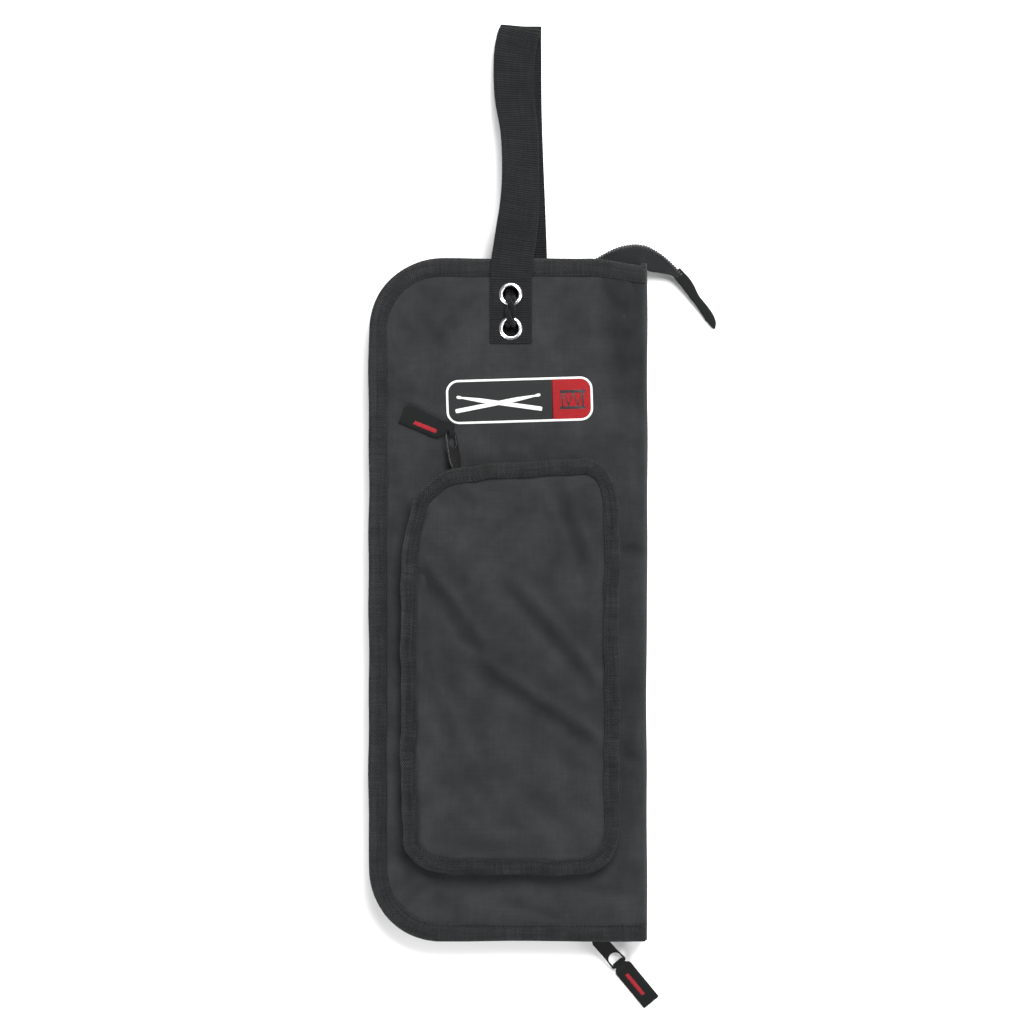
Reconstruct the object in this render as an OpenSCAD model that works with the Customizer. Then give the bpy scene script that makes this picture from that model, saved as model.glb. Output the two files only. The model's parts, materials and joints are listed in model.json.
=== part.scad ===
// Drum stick bag: a soft book-style case that lies on its back.
// X runs across the bag towards the spine, Y along it towards the handle,
// and Z rises from the surface under the back cover. All sizes are in millimetres.

/* [Case] */
// Width of the closed case, from its rounded edge to its spine
case_w = 200; // [190:1:215]
// Length of the closed case
case_h = 490; // [480:1:520]
// Depth of the closed case, back face to front face
case_d = 34; // [34:1:44]
// Radius of the two corners away from the spine
corner_r = 52; // [40:1:60]
// Width of the binding round the edge of each cover
lip_w = 13; // [12:0.5:15]

/* [Front pocket] */
// Width of the pocket over its binding
pocket_w = 158; // [140:1:160]
// Length of the pocket over its binding
pocket_h = 299; // [280:1:300]
// Depth of the pocket
pocket_d = 17.6; // [17:0.1:18]
// Sideways place of the pocket's centre
pocket_x = 2; // [0:0.5:4]
// Lengthways place of the pocket's centre
pocket_y = -49; // [-52:1:-46]
// Corner radius of the pocket
pocket_r = 25; // [22:1:30]

/* [Handle] */
// Width of the webbing
web_w = 30; // [25:1:32]
// Thickness of the webbing
web_t = 1.6; // [1.2:0.1:1.8]
// How far the loop reaches past the top of the case
loop_reach = 166; // [120:1:200]
// Length of webbing sewn to each cover
tab_l = 61; // [55:1:65]

/* [Zips] */
// Where the closed case's slider is, along X
main_slider_x = 56.5; // [50:0.5:70]
// Where the closed pocket's slider is, along X
pocket_slider_x = -32; // [-40:0.5:-20]
// Direction of the case's puller, in degrees from +X
main_pull_angle = -50.5; // [-60:0.1:-40]
// Slope of the case's puller, down to the surface
main_pull_pitch = 23.7; // [22:0.1:26]
// How much longer the case's puller is than the pocket's
main_pull_more = 6; // [0:0.5:8]

/* [Stick sleeves] */
// Number of sleeves in the back cover
back_sleeves = 3; // [2:1:4]
// Number of sleeves in the front cover
front_sleeves = 2; // [1:1:3]

/* [Hidden] */
$fn = 64;

// Cover layers, from the outside in
shell_t = 1.0;
foam_t = 2.4;
lining_t = 0.6;
cover_t = shell_t + foam_t + lining_t;
flange_t = 1.3;
binding_t = 1.0;
binding_h = 4.3;
binding_hem = 1.2;
fabric_t = 0.9;
wall_in = lip_w + 0.2;
sliver = 0.1;
seam_gap = 0.5;

// Places across the bag
cover_end = case_w / 2 - 2;
wall_end = case_w / 2 - 3;
spine_x = case_w / 2 - 1.6;
spine_short = 9;
mid_z = case_d / 2;
top_z = case_d;
wall_y = case_h / 2 - wall_in - fabric_t / 2;

// Zip chain: each half is a band beside the middle line
band_t = 2.4;
band_h = 2.5;
band_gap = 0.5;
chain_half = band_gap + band_h;
main_teeth_end = main_slider_x - 7;
tail_start = 48;

// Slider, its link and its puller
slider_l = 12;
slider_plate = 1.05;
slider_play = 0.25;
slider_lip = 1.35;
tape_slot = 1.4;
post_t = 0.8;
post_l = 2.6;
bridge_t = 2.4;
bridge_reach = 4.4;
bridge_r = 2.3;
bridge_hole = 1.3;
link_r = 3.2;
link_wire = 0.6;
link_straight = 0.8;
link_reach = 2 * link_r + link_straight;
pull_t = 1.6;
pull_w = 11;
pull_bar = 28.1;
pull_l = 29.2;
pull_eye = 2.2;
pull_eye_wide = 2.6;
pull_boss_rim = 1.3;
eye_slack = 0.3;
hole_r = 3.8;
tag_w = 13.5;
tag_l = 38;
tag_t = 1.6;
tag_loop_out = 2.3;
tag_loop_in = 1.65;
tag_tongue = 6;
main_tag_drop = 3.0;

// Pocket stack, from the front cover up
pocket_lip = 11;
pocket_wall_in = 18;
pocket_bind_t = 0.8;
pocket_bind_h = 3.4;
pocket_base_w = 9;
pocket_top = top_z + pocket_d;
pocket_slot_z = pocket_top - pocket_bind_h + pocket_bind_t;
pocket_mid_z = top_z + 8;
pocket_band_h = 2.3;
pocket_chain_half = band_gap + pocket_band_h;
pocket_zip_l = 98;
pocket_zip_x = 3;
pocket_window = 13;
pocket_wall_y = pocket_y + pocket_h / 2 - pocket_wall_in - fabric_t / 2;
pocket_link_angle = 130;
pocket_pull_angle = 99.5;
pocket_pull_pitch = 5;
pocket_pull_roll = 45;
pocket_link_roll = 8;
pocket_tag_angle = 160;

// Handle
front_tab_x = 2;
back_tab_x = 14;
loop_x = 9;
loop_bend = 3.6;
loop_y0 = case_h / 2 + 0.3;
floor_gap = 0.1;
patch_room = 0.1;

// Eyelets
eyelet_y = [219, 194.5];
eyelet_bore = 5.5;
eyelet_barrel = 6.2;
eyelet_rim = 8.65;
eyelet_rim_h = 1.0;
washer_t = 0.8;

// Stick sleeves
sleeve_t = 0.9;
sleeve_bottom = -case_h / 2 + 26;
back_sleeve_h = 9.5;
back_sleeve_top = 60;
front_sleeve_h = 8;
front_sleeve_top = 20;
sleeve_round = 5;
sleeve_span = 160;
sleeve_x = 8;
trim_t = 0.7;
trim_w = 9;

// Badge
badge_size = [105, 31.6];
badge_at = [8.3, 143];
badge_r = 9;
badge_t = 0.8;
badge_turn = 1.7;

// Zip tail: the outer edge of its chain, in plan
tail_inner_path = [[48, 234.6], [57, 240], [67, 246], [74, 249.5], [81, 252.5], [90, 254.5], [97, 254], [100.8, 252.8]];
tail_outer_path = [[101, 252.7], [109, 248.5], [115, 244], [120, 239], [124, 235]];
tail_tab_path = [[124.2, 234.8], [128, 231], [134, 223.6], [140.6, 214], [146.4, 205.4], [149.4, 199.4]];
tail_tip = [146.6, 197.2];
tail_tip_r = 3.9;
tail_t = 2.0;
tail_teeth_w = 2.4;
tail_slope = 17;
tail_pivot_x = 101.5;
tail_cut_x = tail_pivot_x + 0.6;

// Lacing cord through the two eyelets: two strands that cross, knotted inside the front cover
cord_r = 1.5;
cord_sides = 8;
knot_rim = 2.8;
knot_core = 3.4;
knot_top = 28.8;
cord_over = [[0.4, 191.3, 28.2], [0.3, 191.3, 31], [0.2, 191.6, 33.6], [0.1, 192.6, 35.9], [0, 194.4, 37.6],
    [-0.1, 196.6, 38.5], [0.1, 199.4, 38.9], [0.5, 202, 40], [1.2, 204.4, 41.1], [2, 206.7, 41.6],
    [2.8, 209, 41.1], [3.5, 211.4, 40], [3.9, 214, 38.9], [4.1, 216.9, 38.5], [4, 219.1, 37.6],
    [3.9, 220.9, 35.9], [3.8, 221.9, 33.6], [3.7, 222.2, 31], [3.6, 222.2, 28.2]];
cord_under = [[3.6, 191.3, 28.2], [3.7, 191.3, 31], [3.8, 191.6, 33.6], [3.9, 192.6, 35.9], [4, 194.4, 37.6],
    [4.1, 196.6, 38.4], [3.9, 199.4, 38.4], [3.5, 202, 38.4], [2.8, 204.4, 38.4], [2, 206.7, 38.4],
    [1.2, 209, 38.4], [0.5, 211.4, 38.4], [0.1, 214, 38.4], [-0.1, 216.9, 38.4], [0, 219.1, 37.6],
    [0.1, 220.9, 35.9], [0.2, 221.9, 33.6], [0.3, 222.2, 31], [0.4, 222.2, 28.2]];

// ---- Helpers -----------------------------------------------------------

// Plan of the case, brought in by an inset on its three bound sides
module case_plan(inset, x_end) {
    r = corner_r - inset;
    left = -case_w / 2 + inset;
    half = case_h / 2 - inset;
    translate([left, -half + r]) square([x_end - left, 2 * (half - r)]);
    translate([left + r, -half]) square([x_end - left - r, 2 * half]);
    for (s = [-1, 1]) translate([left + r, s * (half - r)]) circle(r);
}

// Band that follows the three bound sides between two insets
module case_band(outer, inner, x_end) {
    difference() {
        case_plan(outer, x_end);
        case_plan(inner, x_end + 1);
    }
}

// Turns a back-cover part over into its front-cover twin
module as_front() {
    translate([0, 0, case_d]) mirror([0, 0, 1]) children();
}

module rounded_rect(size, r) {
    square([size[0], size[1] - 2 * r], center = true);
    square([size[0] - 2 * r, size[1]], center = true);
    for (x = [-1, 1], y = [-1, 1]) translate([x * (size[0] / 2 - r), y * (size[1] / 2 - r)]) circle(r);
}

module slab(z0, z1) {
    translate([0, 0, z0]) linear_extrude(z1 - z0) children();
}

// Strip of one width along a path, on the right-hand side of the way it runs
module ribbon(path, w0, w1) {
    n = len(path);
    ahead = [for (i = [0 : n - 1]) path[min(i + 1, n - 1)] - path[max(i - 1, 0)]];
    side = [for (d = ahead) [d[1], -d[0]] / norm(d)];
    inner = [for (i = [n - 1 : -1 : 0]) path[i] + side[i] * (w0 + (w1 - w0) * i / (n - 1))];
    polygon(concat(path, inner));
}

// Round tube swept along a route
module tube(route, r, sides) {
    n = len(route);
    way = [for (i = [0 : n - 1]) let(d = route[min(i + 1, n - 1)] - route[max(i - 1, 0)]) d / norm(d)];
    across = [for (d = way) let(c = cross(d, abs(d[2]) > 0.9 ? [0, 1, 0] : [0, 0, 1])) c / norm(c)];
    points = [for (i = [0 : n - 1], k = [0 : sides - 1])
        let(a = 360 * k / sides, up = cross(across[i], way[i]))
        route[i] + r * (cos(a) * across[i] + sin(a) * up)];
    walls = [for (i = [0 : n - 2], k = [0 : sides - 1])
        let(a = i * sides + k, b = i * sides + (k + 1) % sides) [a, b, b + sides, a + sides]];
    start = [for (k = [sides - 1 : -1 : 0]) k];
    end = [for (k = [0 : sides - 1]) (n - 1) * sides + k];
    polyhedron(points, concat([start], walls, [end]), convexity = 10);
}

// ---- Covers ------------------------------------------------------------

// Room for the webbing sewn flat under the back cover
module back_patch(extra, z1) {
    y0 = case_h / 2 - tab_l;
    translate([back_tab_x - web_w / 2 - extra, y0 - extra, -1])
        cube([web_w + 2 * extra, tab_l + 2 * extra + 2, z1 + 1]);
}

module cover_shell() {
    slab(0, shell_t) case_plan(lip_w + 1.4, cover_end);
    slab(shell_t, shell_t + flange_t) case_band(binding_hem, lip_w + 3, cover_end);
}

module cover_foam() {
    slab(shell_t, shell_t + foam_t) case_plan(lip_w + 3.2, cover_end - 2);
}

module cover_lining() {
    slab(shell_t + foam_t, cover_t) case_plan(lip_w + 1.6, cover_end);
}

module cover_binding() {
    difference() {
        slab(0, binding_h) case_band(0, lip_w, cover_end);
        slab(binding_t, binding_h - binding_t) case_band(binding_t, lip_w + 1, cover_end + 1);
    }
}

module cover_zip_tape() {
    flange_z = shell_t + flange_t + sliver;
    slab(flange_z, flange_z + fabric_t) case_band(binding_hem, wall_in + fabric_t, wall_end);
    slab(flange_z, mid_z - chain_half) case_band(wall_in, wall_in + fabric_t, wall_end);
}

module cover_zip_teeth() {
    middle = wall_in + fabric_t / 2;
    slab(mid_z - chain_half, mid_z - band_gap) difference() {
        case_band(middle - band_t / 2, middle + band_t / 2, main_teeth_end);
        translate([tail_start, 0]) square([case_w, case_h]);
    }
}

module back_shell() {
    color("#3a3b3d") {
        difference() {
            cover_shell();
            back_patch(patch_room, web_t + floor_gap + patch_room);
        }
        difference() {
            back_patch(patch_room, web_t + floor_gap + 0.8);
            back_patch(patch_room + 1, web_t + floor_gap + patch_room);
            translate([-case_w, case_h / 2 - lip_w - 1.4, -2]) cube([2 * case_w, lip_w * 2, 10]);
        }
    }
}

module back_foam() {
    color("#6d6d70") difference() {
        cover_foam();
        back_patch(patch_room + 0.1, web_t + floor_gap + 0.9);
    }
}

module back_lining() { color("#26272a") cover_lining(); }

module back_binding() {
    color("#242527") difference() {
        cover_binding();
        back_patch(patch_room, web_t + floor_gap + patch_room);
    }
}

module back_zip_tape() { color("#1f2022") cover_zip_tape(); }

module back_zip_teeth() { color("#161718") cover_zip_teeth(); }

module front_shell() { color("#3a3b3d") eyelet_cut() as_front() cover_shell(); }

module front_foam() { color("#6d6d70") eyelet_cut() as_front() cover_foam(); }

module front_lining() { color("#26272a") eyelet_cut() as_front() cover_lining(); }

module front_binding() { color("#242527") as_front() cover_binding(); }

module front_zip_tape() { color("#1f2022") as_front() cover_zip_tape(); }

module front_zip_teeth() { color("#161718") as_front() cover_zip_teeth(); }

module spine_panel() {
    color("#38393b") translate([spine_x, -case_h / 2 + 0.5, 1.2])
        cube([case_w / 2 - spine_x, case_h - 0.5 - spine_short, case_d - 2.4]);
}

// ---- Stick sleeves -----------------------------------------------------

// One sleeve's section: a low tunnel with rounded shoulders
module tunnel(w, h) {
    r = min(sleeve_round, h / 2);
    translate([-w / 2, 0]) square([w, h - r]);
    translate([-w / 2 + r, 0]) square([w - 2 * r, h]);
    for (s = [-1, 1]) translate([s * (w / 2 - r), h - r]) circle(r);
}

// A row of tunnels; grow thickens it outwards
module tunnels(count, h, grow) {
    pitch = sleeve_span / count;
    for (i = [0 : count - 1])
        translate([sleeve_x + pitch * (i - (count - 1) / 2), 0]) tunnel(pitch - 4 + 2 * grow, h + grow);
}

// Extrudes a section drawn in X and Z along Y
module along_y(y0, y1) {
    translate([0, y1, 0]) rotate([90, 0, 0]) linear_extrude(y1 - y0) children();
}

module sleeve_sheet(count, h, y_top) {
    span = sleeve_span - 2;
    translate([0, 0, cover_t + sliver]) {
        along_y(sleeve_bottom, y_top) difference() {
            union() {
                tunnels(count, h, sleeve_t);
                translate([sleeve_x - span / 2, 0]) square([span, sleeve_t]);
            }
            translate([0, -sliver]) tunnels(count, h + sliver, 0);
        }
        along_y(sleeve_bottom - 1.5, sleeve_bottom) {
            tunnels(count, h, sleeve_t);
            translate([sleeve_x - span / 2, 0]) square([span, sleeve_t]);
        }
    }
}

module sleeve_trim(count, h, y_top) {
    span = sleeve_span - 2;
    translate([0, 0, cover_t + sliver]) along_y(y_top - trim_w, y_top) difference() {
        union() {
            tunnels(count, h, sleeve_t + trim_t);
            translate([sleeve_x - span / 2, 0]) square([span, sleeve_t + trim_t]);
        }
        tunnels(count, h, sleeve_t + 0.02);
        translate([sleeve_x - case_w / 2, -1]) square([case_w, sleeve_t + 1.02]);
    }
}

module back_sleeve_sheet() { color("#2c2d30") sleeve_sheet(back_sleeves, back_sleeve_h, back_sleeve_top); }

module back_sleeve_trim() { color("#202124") sleeve_trim(back_sleeves, back_sleeve_h, back_sleeve_top); }

module front_sleeve_sheet() {
    color("#2c2d30") as_front() sleeve_sheet(front_sleeves, front_sleeve_h, front_sleeve_top);
}

module front_sleeve_trim() {
    color("#202124") as_front() sleeve_trim(front_sleeves, front_sleeve_h, front_sleeve_top);
}

// ---- Handle, eyelets and cord ------------------------------------------

module eyelet_cut() {
    difference() {
        children();
        for (y = eyelet_y) translate([front_tab_x, y, 0]) cylinder(r = eyelet_barrel + 0.05, h = 2 * case_d);
    }
}

module handle_front_tab() {
    color("#222325") eyelet_cut() translate([front_tab_x - web_w / 2, case_h / 2 - tab_l, top_z])
        cube([web_w, tab_l, web_t]);
}

module handle_back_tab() {
    color("#222325") translate([back_tab_x - web_w / 2, case_h / 2 - tab_l, floor_gap])
        cube([web_w, tab_l, web_t]);
}

// Side view of the loop: a flat lower leg, a bend and a sloping upper leg
module handle_loop() {
    bend_y = case_h / 2 + loop_reach - loop_bend - web_t;
    bend_z = floor_gap + web_t + loop_bend;
    bend = [for (a = [-90 : 15 : 80]) [cos(a), sin(a)]];
    n = len(bend);
    outside = [for (p = bend) [bend_y, bend_z] + (loop_bend + web_t) * p];
    inside = [for (i = [n - 1 : -1 : 0]) [bend_y, bend_z] + loop_bend * bend[i]];
    color("#222325") translate([loop_x - web_w / 2, 0, 0]) rotate([90, 0, 90]) linear_extrude(web_w)
        polygon(concat([[loop_y0, floor_gap]], outside, [[loop_y0, top_z + web_t], [loop_y0, top_z]],
            inside, [[loop_y0, floor_gap + web_t]]));
}

module front_eyelets() {
    z0 = top_z - cover_t - washer_t;
    z1 = top_z + web_t;
    color("silver") for (y = eyelet_y) translate([front_tab_x, y, 0]) difference() {
        union() {
            translate([0, 0, z0]) cylinder(r = eyelet_barrel, h = z1 - z0);
            translate([0, 0, z1]) cylinder(r1 = eyelet_rim, r2 = eyelet_rim - 0.8, h = eyelet_rim_h);
        }
        cylinder(r = eyelet_bore, h = 2 * case_d);
    }
}

module front_eyelet_washers() {
    color("silver") for (y = eyelet_y) translate([front_tab_x, y, top_z - cover_t - washer_t]) difference() {
        cylinder(r = eyelet_rim, h = washer_t);
        translate([0, 0, -1]) cylinder(r = eyelet_barrel + 0.05, h = washer_t + 2);
    }
}

module lacing_cord() {
    color("#1a1a1c") {
        tube(cord_over, cord_r, cord_sides);
        tube(cord_under, cord_r, cord_sides);
    }
}

module lacing_cord_knots() {
    color("#1a1a1c") for (y = [cord_over[0][1], cord_over[len(cord_over) - 1][1]])
        translate([front_tab_x, y, knot_top - 2 * knot_rim]) rotate_extrude() {
            square([knot_core, 2 * knot_rim]);
            intersection() {
                translate([knot_core, knot_rim]) circle(knot_rim);
                translate([knot_core - sliver, 0]) square(2 * knot_rim + 1);
            }
        }
}

module badge() {
    color("#c8283a") translate([badge_at[0], badge_at[1], top_z]) rotate(badge_turn)
        linear_extrude(badge_t) rounded_rect(badge_size, badge_r);
}

// ---- Zip hardware ------------------------------------------------------

// Slider about the chain's centre: the chain runs along X and the face looks to -Y
module slider() {
    inside_t = band_t + 2 * slider_play;
    inside_h = 2 * (chain_half + slider_play);
    outside_t = inside_t + 2 * slider_plate;
    outside_h = inside_h + 2 * slider_lip;
    difference() {
        cube([slider_l, outside_t, outside_h], center = true);
        cube([slider_l + 1, inside_t, inside_h], center = true);
        cube([slider_l + 1, tape_slot, outside_h + 1], center = true);
    }
    translate([slider_l / 2 - post_l / 2, 0, 0]) cube([post_l, outside_t - sliver, post_t], center = true);
    translate([0, -bridge_reach, -bridge_t / 2]) linear_extrude(bridge_t) difference() {
        union() {
            circle(bridge_r);
            translate([-bridge_r - 1, 0]) square([2 * bridge_r + 2, bridge_reach - outside_t / 2 + 0.05]);
        }
        circle(bridge_hole);
    }
}

// Oval wire link: its near bend is at the origin and it reaches along +X, in the XZ plane
module link() {
    rotate([90, 0, 0]) {
        translate([link_r, 0, 0]) rotate(90) rotate_extrude(angle = 180) translate([link_r, 0]) circle(link_wire);
        translate([link_r + link_straight, 0, 0]) rotate(-90)
            rotate_extrude(angle = 180) translate([link_r, 0]) circle(link_wire);
        for (s = [-1, 1]) translate([link_r, s * link_r, 0]) rotate([0, 90, 0]) cylinder(r = link_wire, h = link_straight);
    }
}

// Flat puller along +X, with its eye at the origin
module pull(eye, more = 0) {
    corner = 3;
    boss = eye + pull_boss_rim;
    translate([0, 0, -pull_t / 2]) linear_extrude(pull_t) difference() {
        union() {
            circle(boss);
            polygon([[0, -boss], [8, -pull_w / 2], [8, pull_w / 2], [0, boss]]);
            translate([8, -pull_w / 2]) square([pull_l + more - corner - 8, pull_w]);
            translate([pull_l + more - corner - 1, -pull_w / 2 + corner])
                square([corner + 1, pull_w - 2 * corner]);
            for (s = [-1, 1]) translate([pull_l + more - corner, s * (pull_w / 2 - corner)]) circle(corner);
        }
        circle(eye);
        translate([19.4 + more, 0]) circle(hole_r);
        translate([19.4 + more, -hole_r]) square([7.6, 2 * hole_r]);
    }
}

// Folded loop of the fabric tag about the puller's bar, which lies along Y
module tag_loop() {
    rotate([90, 0, 0]) difference() {
        cylinder(r = tag_loop_out, h = tag_tongue, center = true);
        cylinder(r = tag_loop_in, h = tag_tongue + 1, center = true);
    }
}

module at_main_slider() {
    translate([main_slider_x, -wall_y, mid_z]) children();
}

module at_main_bridge() {
    at_main_slider() translate([0, -bridge_reach, 0]) rotate(main_pull_angle) children();
}

module at_main_bar() {
    at_main_bridge() translate([link_reach - eye_slack, 0, 0]) rotate([0, main_pull_pitch, 0])
        translate([pull_bar + main_pull_more, 0, 0]) rotate([0, -main_pull_pitch, 0]) children();
}

module main_slider() { color("#17181a") at_main_slider() slider(); }

module main_link() { color("#17181a") at_main_bridge() link(); }

module main_pull() {
    color("#121315") at_main_bridge() translate([link_reach - eye_slack, 0, 0]) rotate([0, main_pull_pitch, 0])
        pull(pull_eye, main_pull_more);
}

module main_tag() {
    color("#262c2a") at_main_bar() {
        tag_loop();
        translate([2.5, -tag_w / 2, -main_tag_drop]) cube([tag_l - 2.5, tag_w, tag_t]);
        difference() {
            translate([0, -tag_tongue / 2, -main_tag_drop]) cube([6, tag_tongue, tag_t]);
            rotate([90, 0, 0]) cylinder(r = tag_loop_in, h = tag_tongue + 1, center = true);
        }
    }
}

module at_pocket_slider() {
    translate([pocket_slider_x, pocket_wall_y, pocket_mid_z]) children();
}

module at_pocket_bridge() {
    at_pocket_slider() translate([0, bridge_reach, 0]) children();
}

module at_pocket_eye() {
    at_pocket_bridge() rotate(pocket_link_angle) translate([link_reach - eye_slack, 0, 0]) rotate(-pocket_link_angle)
        rotate(pocket_pull_angle) rotate([pocket_pull_roll, pocket_pull_pitch, 0]) children();
}

module pocket_slider() { color("#17181a") at_pocket_slider() rotate(180) slider(); }

module pocket_link() {
    color("#17181a") at_pocket_bridge() rotate(pocket_link_angle) rotate([pocket_link_roll, 0, 0]) link();
}

module pocket_pull() { color("#121315") at_pocket_eye() pull(pull_eye_wide); }

module pocket_tag() {
    reach = link_reach - eye_slack;
    eye = [pocket_slider_x + reach * cos(pocket_link_angle),
        pocket_wall_y + bridge_reach + reach * sin(pocket_link_angle)];
    bar = eye + pull_bar * cos(pocket_pull_pitch) * [cos(pocket_pull_angle), sin(pocket_pull_angle)];
    flat_z = top_z + 0.9;
    color("#262c2a") {
        at_pocket_eye() translate([pull_bar, 0, 0]) {
            tag_loop();
            difference() {
                translate([1.2, -tag_tongue / 2 + 0.2, -0.6]) cube([3.6, tag_tongue - 0.4, 1.2]);
                rotate([90, 0, 0]) cylinder(r = tag_loop_in, h = tag_tongue + 1, center = true);
            }
        }
        hull() {
            at_pocket_eye() translate([pull_bar + 3, -tag_tongue / 2 + 0.4, -0.4]) cube([1.6, tag_tongue - 0.8, 0.8]);
            translate([bar[0], bar[1], flat_z]) rotate(pocket_tag_angle)
                translate([9.5, -tag_w / 2 + 0.3, 0.2]) cube([2, tag_w - 0.6, tag_t - 0.4]);
        }
        translate([bar[0], bar[1], flat_z]) rotate(pocket_tag_angle)
            translate([9, -tag_w / 2, 0]) cube([tag_l - 10, tag_w, tag_t]);
    }
}

// ---- Zip ends ----------------------------------------------------------

// Crimped stops at the slider's end of the back chain
module zip_top_stops() {
    color("#2b2c2e") translate([main_slider_x + slider_l / 2 + 1, -wall_y, mid_z - chain_half - 0.6]) difference() {
        translate([0, -1.1, 0]) cube([1.8, 2.2, 2.4]);
        translate([-1, -fabric_t / 2 - 0.05, -1]) cube([4, fabric_t + 0.1, 1.6]);
    }
}

module tail_tilt() {
    translate([tail_pivot_x, 0, mid_z]) rotate([0, tail_slope, 0]) translate([-tail_pivot_x, 0, 0]) children();
}

module zip_tail_inner_tape() {
    edge_y = case_h / 2 - lip_w + 0.4;
    under = [[100.8, 239], [97, 236.4], [90, 234], [82, edge_y], [50, edge_y]];
    color("#2f3032") slab(mid_z - tail_t / 2, mid_z + tail_t / 2) difference() {
        polygon(concat([for (p = tail_inner_path) p - [0, tail_teeth_w + sliver]], under));
        ribbon(tail_inner_path, tail_teeth_w + sliver, tail_teeth_w + sliver);
    }
}

module zip_tail_inner_teeth() {
    color("#161718") slab(mid_z - band_t / 2, mid_z + band_t / 2) ribbon(tail_inner_path, tail_teeth_w, tail_teeth_w);
}

module zip_tail_outer_tape() {
    color("#2f3032") tail_tilt() slab(-tail_t / 2, tail_t / 2) difference() {
        ribbon(tail_outer_path, 13.2, 9.4);
        ribbon(tail_outer_path, tail_teeth_w + sliver, tail_teeth_w + sliver);
        square([tail_cut_x, case_h]);
    }
}

module zip_tail_outer_teeth() {
    color("#161718") tail_tilt() slab(-band_t / 2, band_t / 2) difference() {
        ribbon(tail_outer_path, tail_teeth_w, tail_teeth_w);
        square([tail_cut_x, case_h]);
    }
}

module zip_tail_end_tab() {
    color("#2b2f2d") tail_tilt() {
        slab(-1.3, 1.3) ribbon(tail_tab_path, 9.4, 6.8);
        slab(-1.5, 1.5) translate(tail_tip) circle(tail_tip_r);
    }
}

// ---- Front pocket ------------------------------------------------------

module pocket_plan(inset) {
    translate([pocket_x, pocket_y])
        rounded_rect([pocket_w - 2 * inset, pocket_h - 2 * inset], max(pocket_r - inset, 6));
}

module pocket_band(outer, inner) {
    difference() {
        pocket_plan(outer);
        pocket_plan(inner);
    }
}

// Straight stretch of the top wall that the pocket's zip takes up
module pocket_zip_window(height) {
    translate([pocket_zip_x - pocket_zip_l / 2, pocket_wall_y - 5, pocket_mid_z - height / 2])
        cube([pocket_zip_l, 10, height]);
}

module pocket_face() {
    z = pocket_slot_z + fabric_t + sliver / 2;
    color("#3d3e40") {
        slab(z, z + 0.75) pocket_plan(1);
        slab(z, z + 1.4) pocket_plan(pocket_lip + 0.4);
    }
}

module pocket_gusset() {
    color("#333436") difference() {
        union() {
            slab(top_z, top_z + fabric_t) pocket_band(pocket_wall_in, pocket_wall_in + pocket_base_w);
            slab(top_z, pocket_slot_z + fabric_t) pocket_band(pocket_wall_in, pocket_wall_in + fabric_t);
            slab(pocket_slot_z, pocket_slot_z + fabric_t) pocket_band(1, pocket_wall_in + fabric_t);
        }
        pocket_zip_window(pocket_window);
    }
}

module pocket_binding() {
    z = pocket_top - pocket_bind_h;
    color("#242527") difference() {
        slab(z, pocket_top) pocket_band(0, pocket_lip);
        slab(pocket_slot_z, pocket_top - pocket_bind_t) pocket_band(pocket_bind_t, pocket_lip + 1);
    }
}

module pocket_zip_tape() {
    color("#1f2022") intersection() {
        pocket_zip_window(pocket_window - 0.1);
        difference() {
            slab(top_z, pocket_top) pocket_band(pocket_wall_in, pocket_wall_in + fabric_t);
            slab(pocket_mid_z - pocket_chain_half, pocket_mid_z + pocket_chain_half) pocket_plan(0);
        }
    }
}

module pocket_zip_teeth() {
    x0 = pocket_slider_x + slider_l / 2 + 0.5;
    x1 = pocket_zip_x + pocket_zip_l / 2 - 0.1;
    color("#161718") for (z = [pocket_mid_z - pocket_chain_half, pocket_mid_z + band_gap])
        translate([x0, pocket_wall_y - band_t / 2, z]) cube([x1 - x0, band_t, pocket_band_h]);
}

// ---- Nodes -------------------------------------------------------------

back_shell();
back_foam();
back_lining();
back_binding();
back_zip_tape();
back_zip_teeth();
back_sleeve_sheet();
back_sleeve_trim();
spine_panel();
front_shell();
front_foam();
front_lining();
front_binding();
front_zip_tape();
front_zip_teeth();
front_sleeve_sheet();
front_sleeve_trim();
handle_front_tab();
handle_loop();
handle_back_tab();
badge();
front_eyelets();
front_eyelet_washers();
lacing_cord();
lacing_cord_knots();
zip_top_stops();
zip_tail_inner_tape();
zip_tail_inner_teeth();
zip_tail_outer_tape();
zip_tail_outer_teeth();
zip_tail_end_tab();
main_slider();
main_link();
main_pull();
main_tag();
pocket_face();
pocket_gusset();
pocket_binding();
pocket_zip_tape();
pocket_zip_teeth();
pocket_slider();
pocket_link();
pocket_pull();
pocket_tag();
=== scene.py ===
import json
import math

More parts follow.
